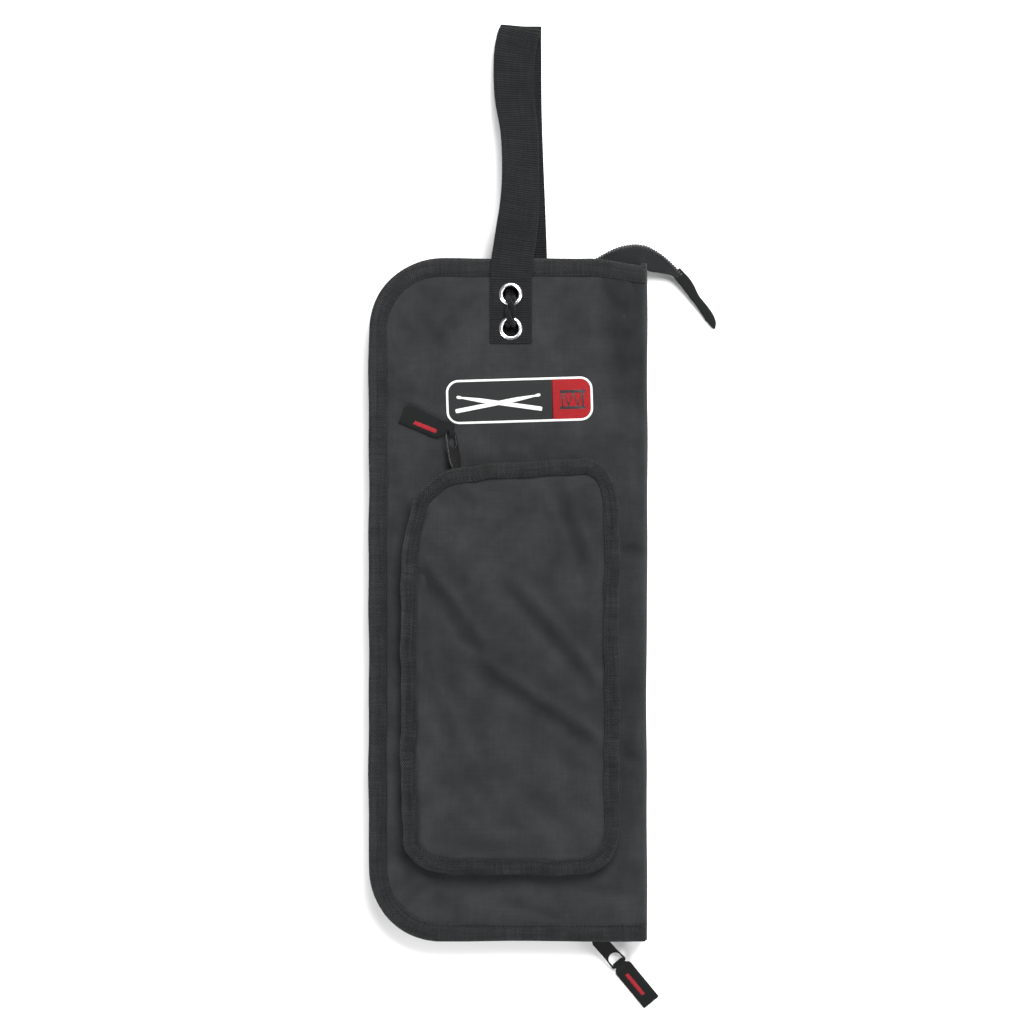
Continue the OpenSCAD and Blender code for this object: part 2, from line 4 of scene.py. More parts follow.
import bmesh
import bpy
import numpy as np
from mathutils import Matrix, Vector


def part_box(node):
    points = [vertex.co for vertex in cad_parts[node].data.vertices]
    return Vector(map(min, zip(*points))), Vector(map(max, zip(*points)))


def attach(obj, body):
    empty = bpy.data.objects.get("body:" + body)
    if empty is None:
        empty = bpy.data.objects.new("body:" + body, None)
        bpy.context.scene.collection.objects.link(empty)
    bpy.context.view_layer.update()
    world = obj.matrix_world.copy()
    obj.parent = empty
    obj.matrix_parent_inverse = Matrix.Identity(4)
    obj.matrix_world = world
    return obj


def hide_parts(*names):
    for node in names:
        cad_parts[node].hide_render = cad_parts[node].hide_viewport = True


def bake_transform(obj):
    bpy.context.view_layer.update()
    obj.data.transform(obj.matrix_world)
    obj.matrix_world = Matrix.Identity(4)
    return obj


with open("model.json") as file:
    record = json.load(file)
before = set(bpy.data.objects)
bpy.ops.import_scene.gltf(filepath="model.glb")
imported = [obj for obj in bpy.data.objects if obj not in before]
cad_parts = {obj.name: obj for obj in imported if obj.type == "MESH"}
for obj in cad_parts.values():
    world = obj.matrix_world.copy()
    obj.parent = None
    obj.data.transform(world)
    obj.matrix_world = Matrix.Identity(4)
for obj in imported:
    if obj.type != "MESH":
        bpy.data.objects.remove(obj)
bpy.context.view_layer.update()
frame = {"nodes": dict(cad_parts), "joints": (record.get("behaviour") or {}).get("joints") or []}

# A drum stick bag. Lengths in this script are in millimetres until a mesh is made; Blender gets metres.
MM = 0.001
X, Y, Z = np.eye(3)


def box_mm(node):
    lo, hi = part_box(node)
    return np.array(lo) / MM, np.array(hi) / MM


def centre_mm(node):
    lo, hi = box_mm(node)
    return (lo + hi) / 2


def joint_pos(name):
    return np.array([j for j in frame["joints"] if j["name"] == name][0]["pos_m"]) / MM


# ---- Sizes read from the frame ----------------------------------------------

(LEFT, BOTTOM, _), (LIP_END, TOP, _) = box_mm("back_binding")
HALF = (TOP - BOTTOM) / 2
FACE = box_mm("front_shell")[1][2]
MID = FACE / 2
RIGHT = box_mm("spine_panel")[1][0]
(P_X0, P_Y0, _), (P_X1, P_Y1, P_TOP) = box_mm("pocket_binding")
POCKET_WALL_Y = centre_mm("pocket_zip_tape")[1]
POCKET_MID_Z = centre_mm("pocket_slider")[2]
TAB_X = centre_mm("handle_front_tab")[0]
TAB_Y0 = box_mm("handle_front_tab")[0][1]
BACK_TAB_X = centre_mm("handle_back_tab")[0]
TEETH_END = box_mm("back_zip_teeth")[1][0]

# ---- Sizes set here, as in the CAD model ------------------------------------

CORNER_R = 52.0             # outer corners of the case
LIP = 13.0                  # width of the case's binding
WALL_IN = LIP + 0.65        # from the case's outline to the middle of its zip
P_R = 25.0                  # corners of the pocket
P_LIP = 11.0                # width of the pocket's binding
PAD = 3.35                  # thickness of a cover's shell and padding
STITCH = 3.3                # pitch of the sewing along the bindings
TOOTH = 2.0                 # pitch of the zip's teeth
SLIDER_RUN = 102.0          # stretch of the case's zip that its slider can reach
POCKET_RUN = 84.0           # and the same on the pocket
TAIL_START = 48.0           # where the zip leaves the case for its tail
EYELETS = (219.0, 194.5)    # along the handle's sewn end
EYELET_CUT_R = 6.1
WEBBING_HALF = 15.0
RIB = 1.7                   # pitch of the webbing's ribs
CORD_R = 1.95
TAG_THICK = 0.55
VIEW_X, VIEW_Y = 2.9, 63.0  # what the camera looks down on
VIEW_SPAN = 733.6           # width of the view, at the height of the front cover
EYE_HEIGHT = 2072.0         # of the camera, to the nearest millimetre

# ---- Small maths ------------------------------------------------------------


def unit(v):
    return v / np.maximum(np.linalg.norm(v, axis=-1, keepdims=True), 1e-12)


def smooth(t):
    t = np.clip(t, 0, 1)
    return t * t * (3 - 2 * t)


def lengths(path):
    return np.concatenate([[0], np.cumsum(np.linalg.norm(np.diff(path, axis=0), axis=1))])


def loop_lengths(path):
    return lengths(np.vstack([path, path[:1]]))


def at_even_steps(path, s, step):
    """The path's points at even steps of s, its length at each point."""
    t = np.linspace(0, s[-1], max(2, int(round(s[-1] / step)) + 1))
    return np.stack([np.interp(t, s, column) for column in path.T], 1)


def resample(path, step):
    path = np.asarray(path, float)
    return at_even_steps(path, lengths(path), step)


def curve_through(points, step):
    """Catmull-Rom curve through points of any dimension, at an even step in its first three columns."""
    p = np.asarray(points, float)
    p = np.vstack([2 * p[0] - p[1], p, 2 * p[-1] - p[-2]])
    out = []
    for a, b, c, d in zip(p, p[1:], p[2:], p[3:]):
        for t in np.arange(0, 1, 0.05):
            out.append(0.5 * (2 * b + (c - a) * t + (2 * a - 5 * b + 4 * c - d) * t * t
                              + (3 * b - a - 3 * c + d) * t ** 3))
    out.append(p[-2])
    out = np.array(out)
    return at_even_steps(out, lengths(out[:, :3]), step)


def circle(count):
    a = np.linspace(0, 2 * np.pi, count, endpoint=False)
    return np.stack([np.cos(a), np.sin(a)], -1)


def tangents(path, closed=False):
    if closed:
        return unit(np.roll(path, -1, 0) - np.roll(path, 1, 0))
    return unit(np.gradient(path, axis=0))


def ripple(x, y, size, seed):
    """Smooth seeded noise in about -1 to 1, with features of the given size."""
    r = np.random.RandomState(seed)
    total = 0
    for _ in range(7):
        a = r.uniform(0, 2 * np.pi)
        k = 2 * np.pi / (size * r.uniform(0.8, 2.2))
        total = total + np.sin(k * (np.cos(a) * x + np.sin(a) * y) + r.uniform(0, 2 * np.pi))
    return total / 3.2


def crease(x, y, a, b, width, depth):
    """A soft ridge, or a valley if depth is negative, along a slightly bowed line from a to b."""
    a, b = np.array(a, float), np.array(b, float)
    d = b - a
    length = np.hypot(*d)
    t = ((x - a[0]) * d[0] + (y - a[1]) * d[1]) / length ** 2
    off = ((x - a[0]) * d[1] - (y - a[1]) * d[0]) / length
    off = off + 0.012 * length * np.sin(np.clip(t, 0, 1) * np.pi)
    shape = np.exp(-(off / width) ** 2) - 0.55 * np.exp(-((off + 1.9 * width) / (1.3 * width)) ** 2)
    shape = shape - 0.3 * np.exp(-((off - 1.9 * width) / (1.3 * width)) ** 2)
    return depth * smooth(t / 0.35) * smooth((1 - t) / 0.35) * shape


def set_attribute(mesh, name, values):
    """Gives each vertex a number, for a material to read."""
    mesh.attributes.new(name, "FLOAT", "POINT").data.foreach_set("value", values.astype(np.float32))


def paint_fold_shade(ob, creases, extra=None):
    """Marks painted shade along one wall of each fold, plus any extra painted shade, for the cloth's colour
    to darken.
    """
    co = np.empty(3 * len(ob.data.vertices))
    ob.data.vertices.foreach_get("co", co)
    x, y, _ = co.reshape(-1, 3).T / MM
    total = 0 * x if extra is None else extra(x, y)
    for a, b, w, d in creases:
        a, b = np.array(a, float), np.array(b, float)
        side = np.array([b[1] - a[1], a[0] - b[0]]) / np.hypot(*(b - a))
        # The painted shade lies on one wall of each fold
        shift = side * 0.75 * w * (1 if d > 0 and b[0] <= a[0] else -1)
        total = total + np.abs(crease(x, y, a + shift, b + shift, 1.15 * w, d)) / 5.0
    set_attribute(ob.data, "fold", np.clip(total, 0, 1))
    return ob


def puckers(along, away, amount, reach, seed):
    """Small gathers that run away from a sewn edge and fade out."""
    wave = ripple(along, 0.12 * away, 8, seed) + 0.6 * ripple(along, 0.2 * away, 15, seed + 1)
    return amount * wave * np.exp(-np.maximum(away, 0) / reach) * (away > -2)


def settle(x, y, z, pinned, rest, bend, frames, floor=None):
    """Cloth simulation of a lattice with more cloth in it than its pinned edge has room for, so that it
    wrinkles. Lengths are ten times life size, which suits the solver."""
    nu, nv = x.shape
    scale = 0.01
    start = np.stack([x, y, z], -1).reshape(-1, 3) * scale
    me = bpy.data.meshes.new("settling")
    me.from_pydata(start.tolist(), [], quads(nu, nv)[0].tolist())
    ob = bpy.data.objects.new("settling", me)
    bpy.context.scene.collection.objects.link(ob)
    ob.shape_key_add(name="Basis")
    key = ob.shape_key_add(name="rest")
    key.data.foreach_set("co", (rest.reshape(-1, 3) * scale).ravel())
    key.value = 0
    group = ob.vertex_groups.new(name="pin")
    for i in np.nonzero(pinned.ravel() > 0.01)[0]:
        group.add([int(i)], float(pinned.ravel()[i]), "REPLACE")
    mod = ob.modifiers.new("cloth", "CLOTH")
    cloth = mod.settings
    cloth.rest_shape_key = ob.data.shape_keys.key_blocks["rest"]
    cloth.vertex_group_mass = "pin"
    cloth.quality, cloth.mass, cloth.air_damping = 6, 0.15, 1
    cloth.tension_stiffness = cloth.compression_stiffness = 20
    cloth.shear_stiffness, cloth.bending_stiffness = 8, bend
    cloth.tension_damping = cloth.compression_damping = cloth.shear_damping = 10
    cloth.bending_damping = 1
    cloth.effector_weights.gravity = 0 if floor is None else 0.5
    mod.collision_settings.use_collision = floor is not None
    made = [ob]
    if floor is not None:
        mod.collision_settings.distance_min = 0.002
        lo, hi = start.min(0) - 1, start.max(0) + 1
        under = bpy.data.meshes.new("under")
        h = floor * scale
        corners = [(lo[0], lo[1], h), (hi[0], lo[1], h), (hi[0], hi[1], h), (lo[0], hi[1], h)]
        under.from_pydata(corners, [], [(0, 1, 2, 3)])
        under_ob = bpy.data.objects.new("under", under)
        bpy.context.scene.collection.objects.link(under_ob)
        under_ob.modifiers.new("hit", "COLLISION")
        under_ob.collision.thickness_outer = 0.002
        made.append(under_ob)
    mod.point_cache.frame_start, mod.point_cache.frame_end = 1, frames
    for frame_number in range(1, frames + 1):
        bpy.context.scene.frame_set(frame_number)
    final = ob.evaluated_get(bpy.context.evaluated_depsgraph_get()).data
    out = np.empty(nu * nv * 3)
    final.vertices.foreach_get("co", out)
    for item in made:
        bpy.data.objects.remove(item)
    bpy.context.scene.frame_set(1)
    out = out.reshape(nu, nv, 3) / scale
    for _ in range(2):
        around = out[:-2, 1:-1] + out[2:, 1:-1] + out[1:-1, :-2] + out[1:-1, 2:]
        out[1:-1, 1:-1] = 0.5 * out[1:-1, 1:-1] + 0.125 * around
    return out


# ---- Mesh makers ------------------------------------------------------------


def add_mesh(name, verts, faces, uvs=None, smooth_shade=True):
    me = bpy.data.meshes.new(name)
    me.from_pydata((np.asarray(verts, float) * MM).tolist(), [], [tuple(int(i) for i in f) for f in faces])
    if uvs is not None:
        layer = me.uv_layers.new(name="UVMap")
        layer.data.foreach_set("uv", (np.asarray(uvs, float) * MM).ravel())
    me.polygons.foreach_set("use_smooth", [smooth_shade] * len(me.polygons))
    me.update()
    ob = bpy.data.objects.new(name, me)
    bpy.context.scene.collection.objects.link(ob)
    return ob


def quads(nu, nv, wrap_u=False, wrap_v=False):
    """Faces of a lattice of nu by nv points, and each face's row and column."""
    rows, columns = np.arange(nu if wrap_u else nu - 1), np.arange(nv if wrap_v else nv - 1)
    i, j = (k.ravel() for k in np.meshgrid(rows, columns, indexing="ij"))
    i2, j2 = (i + 1) % nu, (j + 1) % nv
    return np.stack([i * nv + j, i2 * nv + j, i2 * nv + j2, i * nv + j2], -1), i, j


def lattice_uvs(s, t, i, j):
    """Corners of a lattice's faces, from the lengths s along it and t across it."""
    return np.stack([s[i], t[j], s[i + 1], t[j], s[i + 1], t[j + 1], s[i], t[j + 1]], -1).reshape(-1, 2)


class Shape:
    """Verts, faces and loop UVs gathered before one mesh is made of them."""

    def __init__(self):
        self.v, self.f, self.uv, self.n = [], [], [], 0

    def add(self, verts, faces, uvs):
        verts = np.asarray(verts, float).reshape(-1, 3)
        self.v.append(verts)
        self.f += [[int(i) + self.n for i in f] for f in faces]
        self.uv.append(np.asarray(uvs, float).reshape(-1, 2))
        self.n += len(verts)
        return self

    def sweep(self, path, across, up, section, closed=False):
        """A closed section of (across, up) offsets along a path. The section may differ at each station."""
        path, n = np.asarray(path, float), len(path)
        sec = np.asarray(section, float)
        sec = np.broadcast_to(sec, (n,) + sec.shape[-2:])
        m = sec.shape[1]
        across, up = np.broadcast_to(across, (n, 3)), np.broadcast_to(up, (n, 3))
        pts = path[:, None] + across[:, None] * sec[..., :1] + up[:, None] * sec[..., 1:]
        q, i, j = quads(n, m, closed, True)
        s = loop_lengths(path) if closed else lengths(path)
        faces, uvs = q.tolist(), [lattice_uvs(s, loop_lengths(sec[n // 2]), i, j)]
        if not closed:
            faces += [list(range(m))[::-1], list(range((n - 1) * m, n * m))]
            uvs += [sec[0][::-1], sec[-1]]
        return self.add(pts, faces, np.vstack(uvs))

    def ring(self, pts):
        """A closed tube of (stations, section) points whose stations meet end to end."""
        n, m = pts.shape[:2]
        q, i, j = quads(n, m, True, True)
        s, t = loop_lengths(pts[:, 0]), loop_lengths(pts[n // 2])
        return self.add(pts, q.tolist(), lattice_uvs(s, t, i, j))

    def sheet(self, top, bottom, flat=(0, 1)):
        """A closed sheet between two lattices of points. Its UVs are the two coordinates named by flat."""
        nu, nv = top.shape[:2]
        n = nu * nv
        q, _, _ = quads(nu, nv)
        rim = ([i * nv for i in range(nu)] + [(nu - 1) * nv + j for j in range(1, nv)]
               + [i * nv + nv - 1 for i in range(nu - 2, -1, -1)] + list(range(nv - 2, 0, -1)))
        side = [[a, b, b + n, a + n] for a, b in zip(rim, rim[1:] + rim[:1])]
        verts = np.concatenate([top.reshape(-1, 3), bottom.reshape(-1, 3)])
        faces = q.tolist() + (q[:, ::-1] + n).tolist() + side
        return self.add(verts, faces, verts[np.concatenate(faces)][:, flat])

    def slab(self, x, y, top, bottom):
        """A closed sheet between two heights over one lattice."""
        return self.sheet(np.stack([x, y, top], -1), np.stack([x, y, bottom], -1))

    def ball_tube(self, centres, axis, side, up, half, wide, tall, sides=6):
        """Many short rounded bars at once, such as stitches or zip teeth."""
        k = len(centres)
        steps = np.array([-1, -0.72, 0.72, 1])
        size = np.array([0.35, 1, 1, 0.35])
        ring = circle(sides)
        pts = (centres[:, None, None] + (steps * half)[None, :, None, None] * axis[:, None, None]
               + size[None, :, None, None] * (ring[None, None, :, :1] * wide * side[:, None, None]
                                              + ring[None, None, :, 1:] * tall * up[:, None, None]))
        q, _, _ = quads(4, sides, False, True)
        one = q.tolist() + [list(range(sides))[::-1], list(range(3 * sides, 4 * sides))]
        faces = [[i + 4 * sides * b for i in f] for b in range(k) for f in one]
        loops = sum(len(f) for f in one)
        return self.add(pts, faces, np.zeros((k * loops, 2)))

    def make(self, name):
        ob = add_mesh(name, np.concatenate(self.v), self.f, np.concatenate(self.uv))
        bm = bmesh.new()
        bm.from_mesh(ob.data)
        bmesh.ops.recalc_face_normals(bm, faces=bm.faces)
        bm.to_mesh(ob.data)
        bm.free()
        return ob


def place(ob, body, slot, material, *nodes):
    """Gives a finished piece its material, attaches it to its body (a tuple only bakes its transform) and
    hides the CAD nodes that it stands for. The slot is not used.
    """
    ob.data.materials.clear()
    ob.data.materials.append(material)
    if isinstance(body, tuple):
        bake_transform(ob)
    else:
        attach(ob, body)
    if nodes:
        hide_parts(*nodes)
    return ob


def evaluated_mesh(ob):
    bpy.context.view_layer.update()
    return bpy.data.meshes.new_from_object(ob.evaluated_get(bpy.context.evaluated_depsgraph_get()))


def cut_eyelet_holes(ob, z0, z1):
    """Cuts round holes through a sheet, where the eyelets go."""
    for y in EYELETS:
        tool = Shape().sweep([(TAB_X, y, z0), (TAB_X, y, z1)], X, Y, EYELET_CUT_R * circle(32)).make("cutter")
        mod = ob.modifiers.new("hole", "BOOLEAN")
        mod.operation, mod.object, mod.solver = "DIFFERENCE", tool, "EXACT"
        cut = evaluated_mesh(ob)
        ob.modifiers.clear()
        ob.data = cut
        bpy.data.objects.remove(tool)


# ---- Materials --------------------------------------------------------------


class Look:
    """A Principled material with a few node shorthands. Constants go straight on the shader's sockets."""

    def __init__(self, name, **fixed):
        self.mat = bpy.data.materials.new(name)
        self.mat.use_nodes = True
        self.nodes, self.links = self.mat.node_tree.nodes, self.mat.node_tree.links
        self.bsdf = self.nodes["Principled BSDF"]
        for socket, value in fixed.items():
            self.bsdf.inputs[socket.replace("_", " ")].default_value = value

    def new(self, kind, **sockets):
        node = self.nodes.new("ShaderNode" + kind)
        for name, value in sockets.items():
            self.put(node.inputs[name.replace("_", " ")], value)
        return node

    def put(self, socket, value):
        if isinstance(value, bpy.types.NodeSocket):
            self.links.new(value, socket)
        else:
            socket.default_value = value

    def math(self, op, a, b=0.0, clamp=False):
        node = self.nodes.new("ShaderNodeMath")
        node.operation, node.use_clamp = op, clamp
        self.put(node.inputs[0], a)
        self.put(node.inputs[1], b)
        return node.outputs[0]

    def uv(self):
        xyz = self.new("SeparateXYZ", Vector=self.new("TexCoord").outputs["UV"])
        return xyz.outputs["X"], xyz.outputs["Y"]

    def object_xyz(self):
        return self.new("SeparateXYZ", Vector=self.new("TexCoord").outputs["Object"]).outputs

    def attribute(self, name):
        node = self.new("Attribute")
        node.attribute_name = name
        return node.outputs["Fac"]

    def noise(self, size_mm, detail, rough=0.5):
        node = self.new("TexNoise", Vector=self.new("TexCoord").outputs["Object"],
                        Scale=1 / (size_mm * MM), Detail=detail, Roughness=rough)
        return node.outputs["Fac"]

    def wave(self, coordinate, pitch_mm):
        return self.math("SINE", self.math("MULTIPLY", coordinate, 2 * math.pi / (pitch_mm * MM)))

    def mix(self, factor, a, b):
        node = self.nodes.new("ShaderNodeMix")
        node.data_type = "RGBA"
        self.put(node.inputs[0], factor)
        for socket, value in ((node.inputs[6], a), (node.inputs[7], b)):
            self.put(socket, value if isinstance(value, bpy.types.NodeSocket) else tuple(value) + (1,))
        return node.outputs[2]

    def range(self, value, low, high, to_low, to_high):
        node = self.new("MapRange", Value=value)
        for name, v in (("From Min", low), ("From Max", high), ("To Min", to_low), ("To Max", to_high)):
            node.inputs[name].default_value = v
        return node.outputs[0]

    def bump(self, height, depth_mm, normal=None):
        node = self.new("Bump", Height=height, Distance=depth_mm * MM, Strength=1.0)
        if normal is not None:
            self.put(node.inputs["Normal"], normal)
        return node.outputs["Normal"]

    def finish(self, color=None, normal=None, rough=None):
        for name, value in (("Base Color", color), ("Normal", normal), ("Roughness", rough)):
            if value is not None:
                self.put(self.bsdf.inputs[name], value)
        return self.mat


def weave_height(k, kind, u, v, pitch):
    """Height of a weave, about -1 to 1."""
    if kind == "plain":
        return k.math("MULTIPLY", k.wave(u, pitch), k.wave(v, pitch))
    if kind == "twill":
        return k.wave(k.math("ADD", u, v), pitch)
    if kind == "herringbone":
        turn = k.math("PINGPONG", v, 2.1 * pitch * MM)
        return k.wave(k.math("ADD", u, k.math("MULTIPLY", turn, 1.2)), pitch)
    if kind == "ribs":
        rib = k.wave(u, pitch)
        return k.math("ADD", k.math("MULTIPLY", rib, 0.6), k.math("MULTIPLY", k.math(
            "MULTIPLY", k.wave(v, 0.62 * pitch), k.wave(u, pitch / 2)), 0.4))
    if kind == "braid":
        return k.math("MULTIPLY", k.wave(k.math("ADD", u, v), pitch), k.wave(k.math("SUBTRACT", u, v), pitch))
    raise ValueError(kind)


def fabric(name, base, kind, pitch, depth, rough, sheen, contrast, vary, coords="uv", slub=0.0, wide=70,
           spec=0.12):
    """Woven cloth: yarn relief with painted light and shade (yarn tops lighter, gaps between yarns darker),
    thick and thin yarns, broad fading and fibres.
    Pitch and depth are the weave's, and wide is the size of the fading, which varies the colour by vary."""
    k = Look(name, Sheen_Weight=sheen, Sheen_Roughness=0.5, Specular_IOR_Level=spec)
    if coords == "uv":
        u, v = k.uv()
    else:
        xyz = k.object_xyz()
        u, v = xyz["XYZ".index(coords[0])], xyz["XYZ".index(coords[1])]
    height = weave_height(k, kind, u, v, pitch)
    fibre = k.noise(0.5, 3, 0.7)
    broad = k.noise(wide, 3, 0.55)
    # Painted light and shade in the weave: high yarns lighter, the gaps between them darker
    shade = k.range(height, -1, 1, 1 - contrast, 1 + 0.35 * contrast)
    shade = k.math("MULTIPLY", shade, k.range(broad, 0.3, 0.7, 1 - vary, 1 + vary))
    shade = k.math("MULTIPLY", shade, k.range(fibre, 0.3, 0.7, 0.9, 1.1))
    # Painted shade along folds: darker where the mesh's fold attribute is set
    shade = k.math("MULTIPLY", shade, k.range(k.attribute("fold"), 0, 1, 1.0, 0.62))
    if slub:
        grain = k.new("CombineXYZ", X=k.math("MULTIPLY", u, 0.06), Y=v)
        across = k.new("CombineXYZ", X=u, Y=k.math("MULTIPLY", v, 0.06))
        for vector in (grain.outputs[0], across.outputs[0]):
            yarn = k.new("TexNoise", Vector=vector, Scale=1 / (1.6 * MM), Detail=2.0)
            shade = k.math("MULTIPLY", shade, k.range(yarn.outputs["Fac"], 0.3, 0.7, 1 - slub, 1 + slub))
            height = k.math("ADD", height, k.range(yarn.outputs["Fac"], 0.3, 0.7, -slub, slub))
    colour = k.mix(k.math("MULTIPLY", shade, 0.5, True), (0, 0, 0), [2 * c for c in base])
    normal = k.bump(height, depth)
    normal = k.bump(fibre, 0.12, normal)
    return k.finish(colour, normal, k.range(broad, 0.3, 0.7, rough - 0.06, rough + 0.06))


def metal(name, base, rough, metallic=1.0, coat=0.0, edge=None):
    k = Look(name, Metallic=metallic, Coat_Weight=coat, Coat_Roughness=0.12, Specular_IOR_Level=0.35)
    fine = k.noise(0.6, 4, 0.6)
    broad = k.noise(6, 3, 0.6)
    colour = k.mix(k.range(broad, 0.3, 0.7, 0, 1), base, [0.82 * c for c in base])
    if edge:
        worn = k.math("MULTIPLY", k.attribute("wear"), k.range(k.noise(1.2, 3), 0.4, 0.6, 0, 1), True)
        colour = k.mix(worn, colour, edge)
    return k.finish(colour, k.bump(fine, 0.015), k.range(broad, 0.3, 0.7, 0.7 * rough, 1.3 * rough))


def plastic(name, base, rough):
    k = Look(name, Specular_IOR_Level=0.5)
    broad = k.noise(4, 2)
    colour = k.mix(broad, base, [1.5 * c + 0.004 for c in base])
    uneven = k.range(broad, 0.3, 0.7, rough - 0.08, rough + 0.08)
    return k.finish(colour, k.bump(k.noise(0.4, 2), 0.03), uneven)


M_SHELL = fabric("charcoal_weave", (0.0238, 0.0252, 0.0268), "plain", 1.1, 0.16, 0.84, 0.06, 0.32, 0.26,
                 slub=0.05, wide=22)
M_POCKET_BINDING = fabric("pocket_binding_herringbone", (0.0168, 0.0178, 0.0190), "herringbone", 1.9, 0.45,
                          0.82, 0.05, 0.7, 0.3, slub=0.3, wide=14)
M_BINDING = fabric("binding_herringbone", (0.0184, 0.0195, 0.0207), "herringbone", 1.9, 0.45,
                   0.82, 0.06, 0.62, 0.25, slub=0.25, wide=18)
M_WEBBING = fabric("ribbed_webbing", (0.0128, 0.0136, 0.0145), "ribs", RIB, 0.32, 0.8, 0.03, 0.7, 0.15,
                   slub=0.2, wide=25)
M_TAPE = fabric("zip_tape_weave", (0.011, 0.012, 0.013), "herringbone", 0.9, 0.12, 0.85, 0.12, 0.45, 0.1,
                spec=0.25)
M_LINING = fabric("lining_nylon", (0.011, 0.012, 0.014), "plain", 0.7, 0.06, 0.55, 0.2, 0.25, 0.15,
                  slub=0.15, spec=0.25)
M_SLEEVE = fabric("sleeve_nylon", (0.014, 0.015, 0.017), "twill", 0.9, 0.08, 0.6, 0.2, 0.3, 0.15,
                  slub=0.2, spec=0.25)
M_CORD = fabric("braided_cord", (0.0062, 0.0065, 0.0070), "braid", 1.6, 0.25, 0.75, 0.05, 0.7, 0.1)
M_TAG = fabric("tag_ribbon", (0.0055, 0.0072, 0.0067), "ribs", 0.8, 0.10, 0.7, 0.05, 0.4, 0.1)
M_TAIL_TAB = fabric("tail_tab_cloth", (0.0088, 0.0106, 0.0100), "twill", 0.9, 0.10, 0.8, 0.05, 0.35, 0.1)
M_TAIL_TAPE = fabric("tail_tape_weave", (0.0156, 0.0164, 0.0172), "herringbone", 1.0, 0.10,
                     0.8, 0.08, 0.4, 0.12)
M_THREAD = fabric("sewing_thread", (0.0055, 0.0058, 0.0064), "plain", 0.4, 0.04, 0.6, 0.05, 0.3, 0.1,
                  coords="XY")
M_WHITE = fabric("embroidery_white", (0.78, 0.78, 0.77), "plain", 0.5, 0.08, 0.55, 0.2, 0.12, 0.03, spec=0.25)
M_RED = fabric("embroidery_red", (0.31, 0.0055, 0.009), "twill", 0.6, 0.12, 0.6, 0.04, 0.3, 0.06, spec=0.25)
M_FIELD = fabric("embroidery_black", (0.0160, 0.0169, 0.0178), "twill", 0.6, 0.12, 0.7, 0.05, 0.35, 0.06,
                 spec=0.25)
M_DARK = fabric("embroidery_dark", (0.018, 0.007, 0.009), "twill", 0.6, 0.12, 0.55, 0.3, 0.35, 0.06,
                spec=0.25)
M_RED_DIM = fabric("tag_red_thread", (0.29, 0.007, 0.017), "twill", 0.6, 0.12, 0.6, 0.05, 0.4, 0.1, spec=0.25)
M_TEETH = plastic("zip_coil", (0.010, 0.010, 0.012), 0.36)
M_CHROME = metal("eyelet_chrome", (0.66, 0.66, 0.68), 0.22)
M_BLACK = metal("black_lacquer", (0.004, 0.004, 0.0045), 0.34, 0.0, 0.15, edge=(0.09, 0.09, 0.095))
M_STEEL = metal("dull_steel", (0.3, 0.3, 0.31), 0.35)

# ---- Outlines ---------------------------------------------------------------


def case_path(inset, step, x_end):
    r, half, left = CORNER_R - inset, HALF - inset, LEFT + inset
    pts = [(x_end, -half)]
    for a in np.radians(np.linspace(-90, -180, 40)):
        pts.append((left + r + r * np.cos(a), -half + r + r * np.sin(a)))
    for a in np.radians(np.linspace(180, 90, 40)):
        pts.append((left + r + r * np.cos(a), half - r + r * np.sin(a)))
    pts.append((x_end, half))
    return resample(pts, step)


def inward(path2d, closed=False):
    t = tangents(path2d, closed)
    return np.stack([t[:, 1], -t[:, 0], 0 * t[:, 0]], 1)


def lift(path2d, z):
    return np.column_stack([path2d, np.broadcast_to(z, len(path2d))])


def case_depth(x, y):
    """How far a point is in from the three bound sides."""
    qx, qy = LEFT + CORNER_R - x, np.abs(y) - (HALF - CORNER_R)
    straight = np.minimum(x - LEFT, HALF - np.abs(y))
    return np.where((qx > 0) & (qy > 0), CORNER_R - np.hypot(qx, qy), straight)


def case_lattice(inset, x_end, step):
    """Rows across the case plan, closer together round its corners."""
    r, half, left = CORNER_R - inset, HALF - inset, LEFT + inset
    side = half - r
    bend = side + r * np.sin(np.radians(np.linspace(0, 90, int(r * 1.5 / step) + 2)))
    rows = np.concatenate([-bend[::-1], np.linspace(-side, side, int(2 * side / step))[1:-1], bend])
    start = left + r - np.sqrt(np.maximum(r * r - np.maximum(np.abs(rows) - side, 0) ** 2, 0))
    x = start[:, None] + (x_end - start[:, None]) * np.linspace(0, 1, int((x_end - left) / step))
    return x, np.broadcast_to(rows[:, None], x.shape).copy()


def plain_pocket_path(inset, step):
    """The pocket's outline before it sags."""
    r = max(P_R - inset, 5)
    x0, x1, y0, y1 = P_X0 + inset, P_X1 - inset, P_Y0 + inset, P_Y1 - inset
    pts = []
    corners = ((x0 + r, y0 + r, 270), (x0 + r, y1 - r, 180), (x1 - r, y1 - r, 90), (x1 - r, y0 + r, 0))
    for cx, cy, a0 in corners:
        for a in np.radians(np.linspace(a0, a0 - 90, 24)):
            pts.append((cx + r * np.cos(a), cy + r * np.sin(a)))
    pts.append(pts[0])
    return resample(pts, step)[:-1]


def pocket_path(inset, step):
    path = plain_pocket_path(inset, step)
    s = lengths(path)
    turn = 2 * np.pi * s / (s[-1] + step)
    wobble = 0.32 * np.sin(13 * turn + 1) + 0.28 * np.sin(23 * turn) + 0.2 * np.sin(37 * turn + 2)
    path = path + inward(path, True)[:, :2] * wobble[:, None]
    return np.stack(slump(path[:, 0], path[:, 1]), 1)


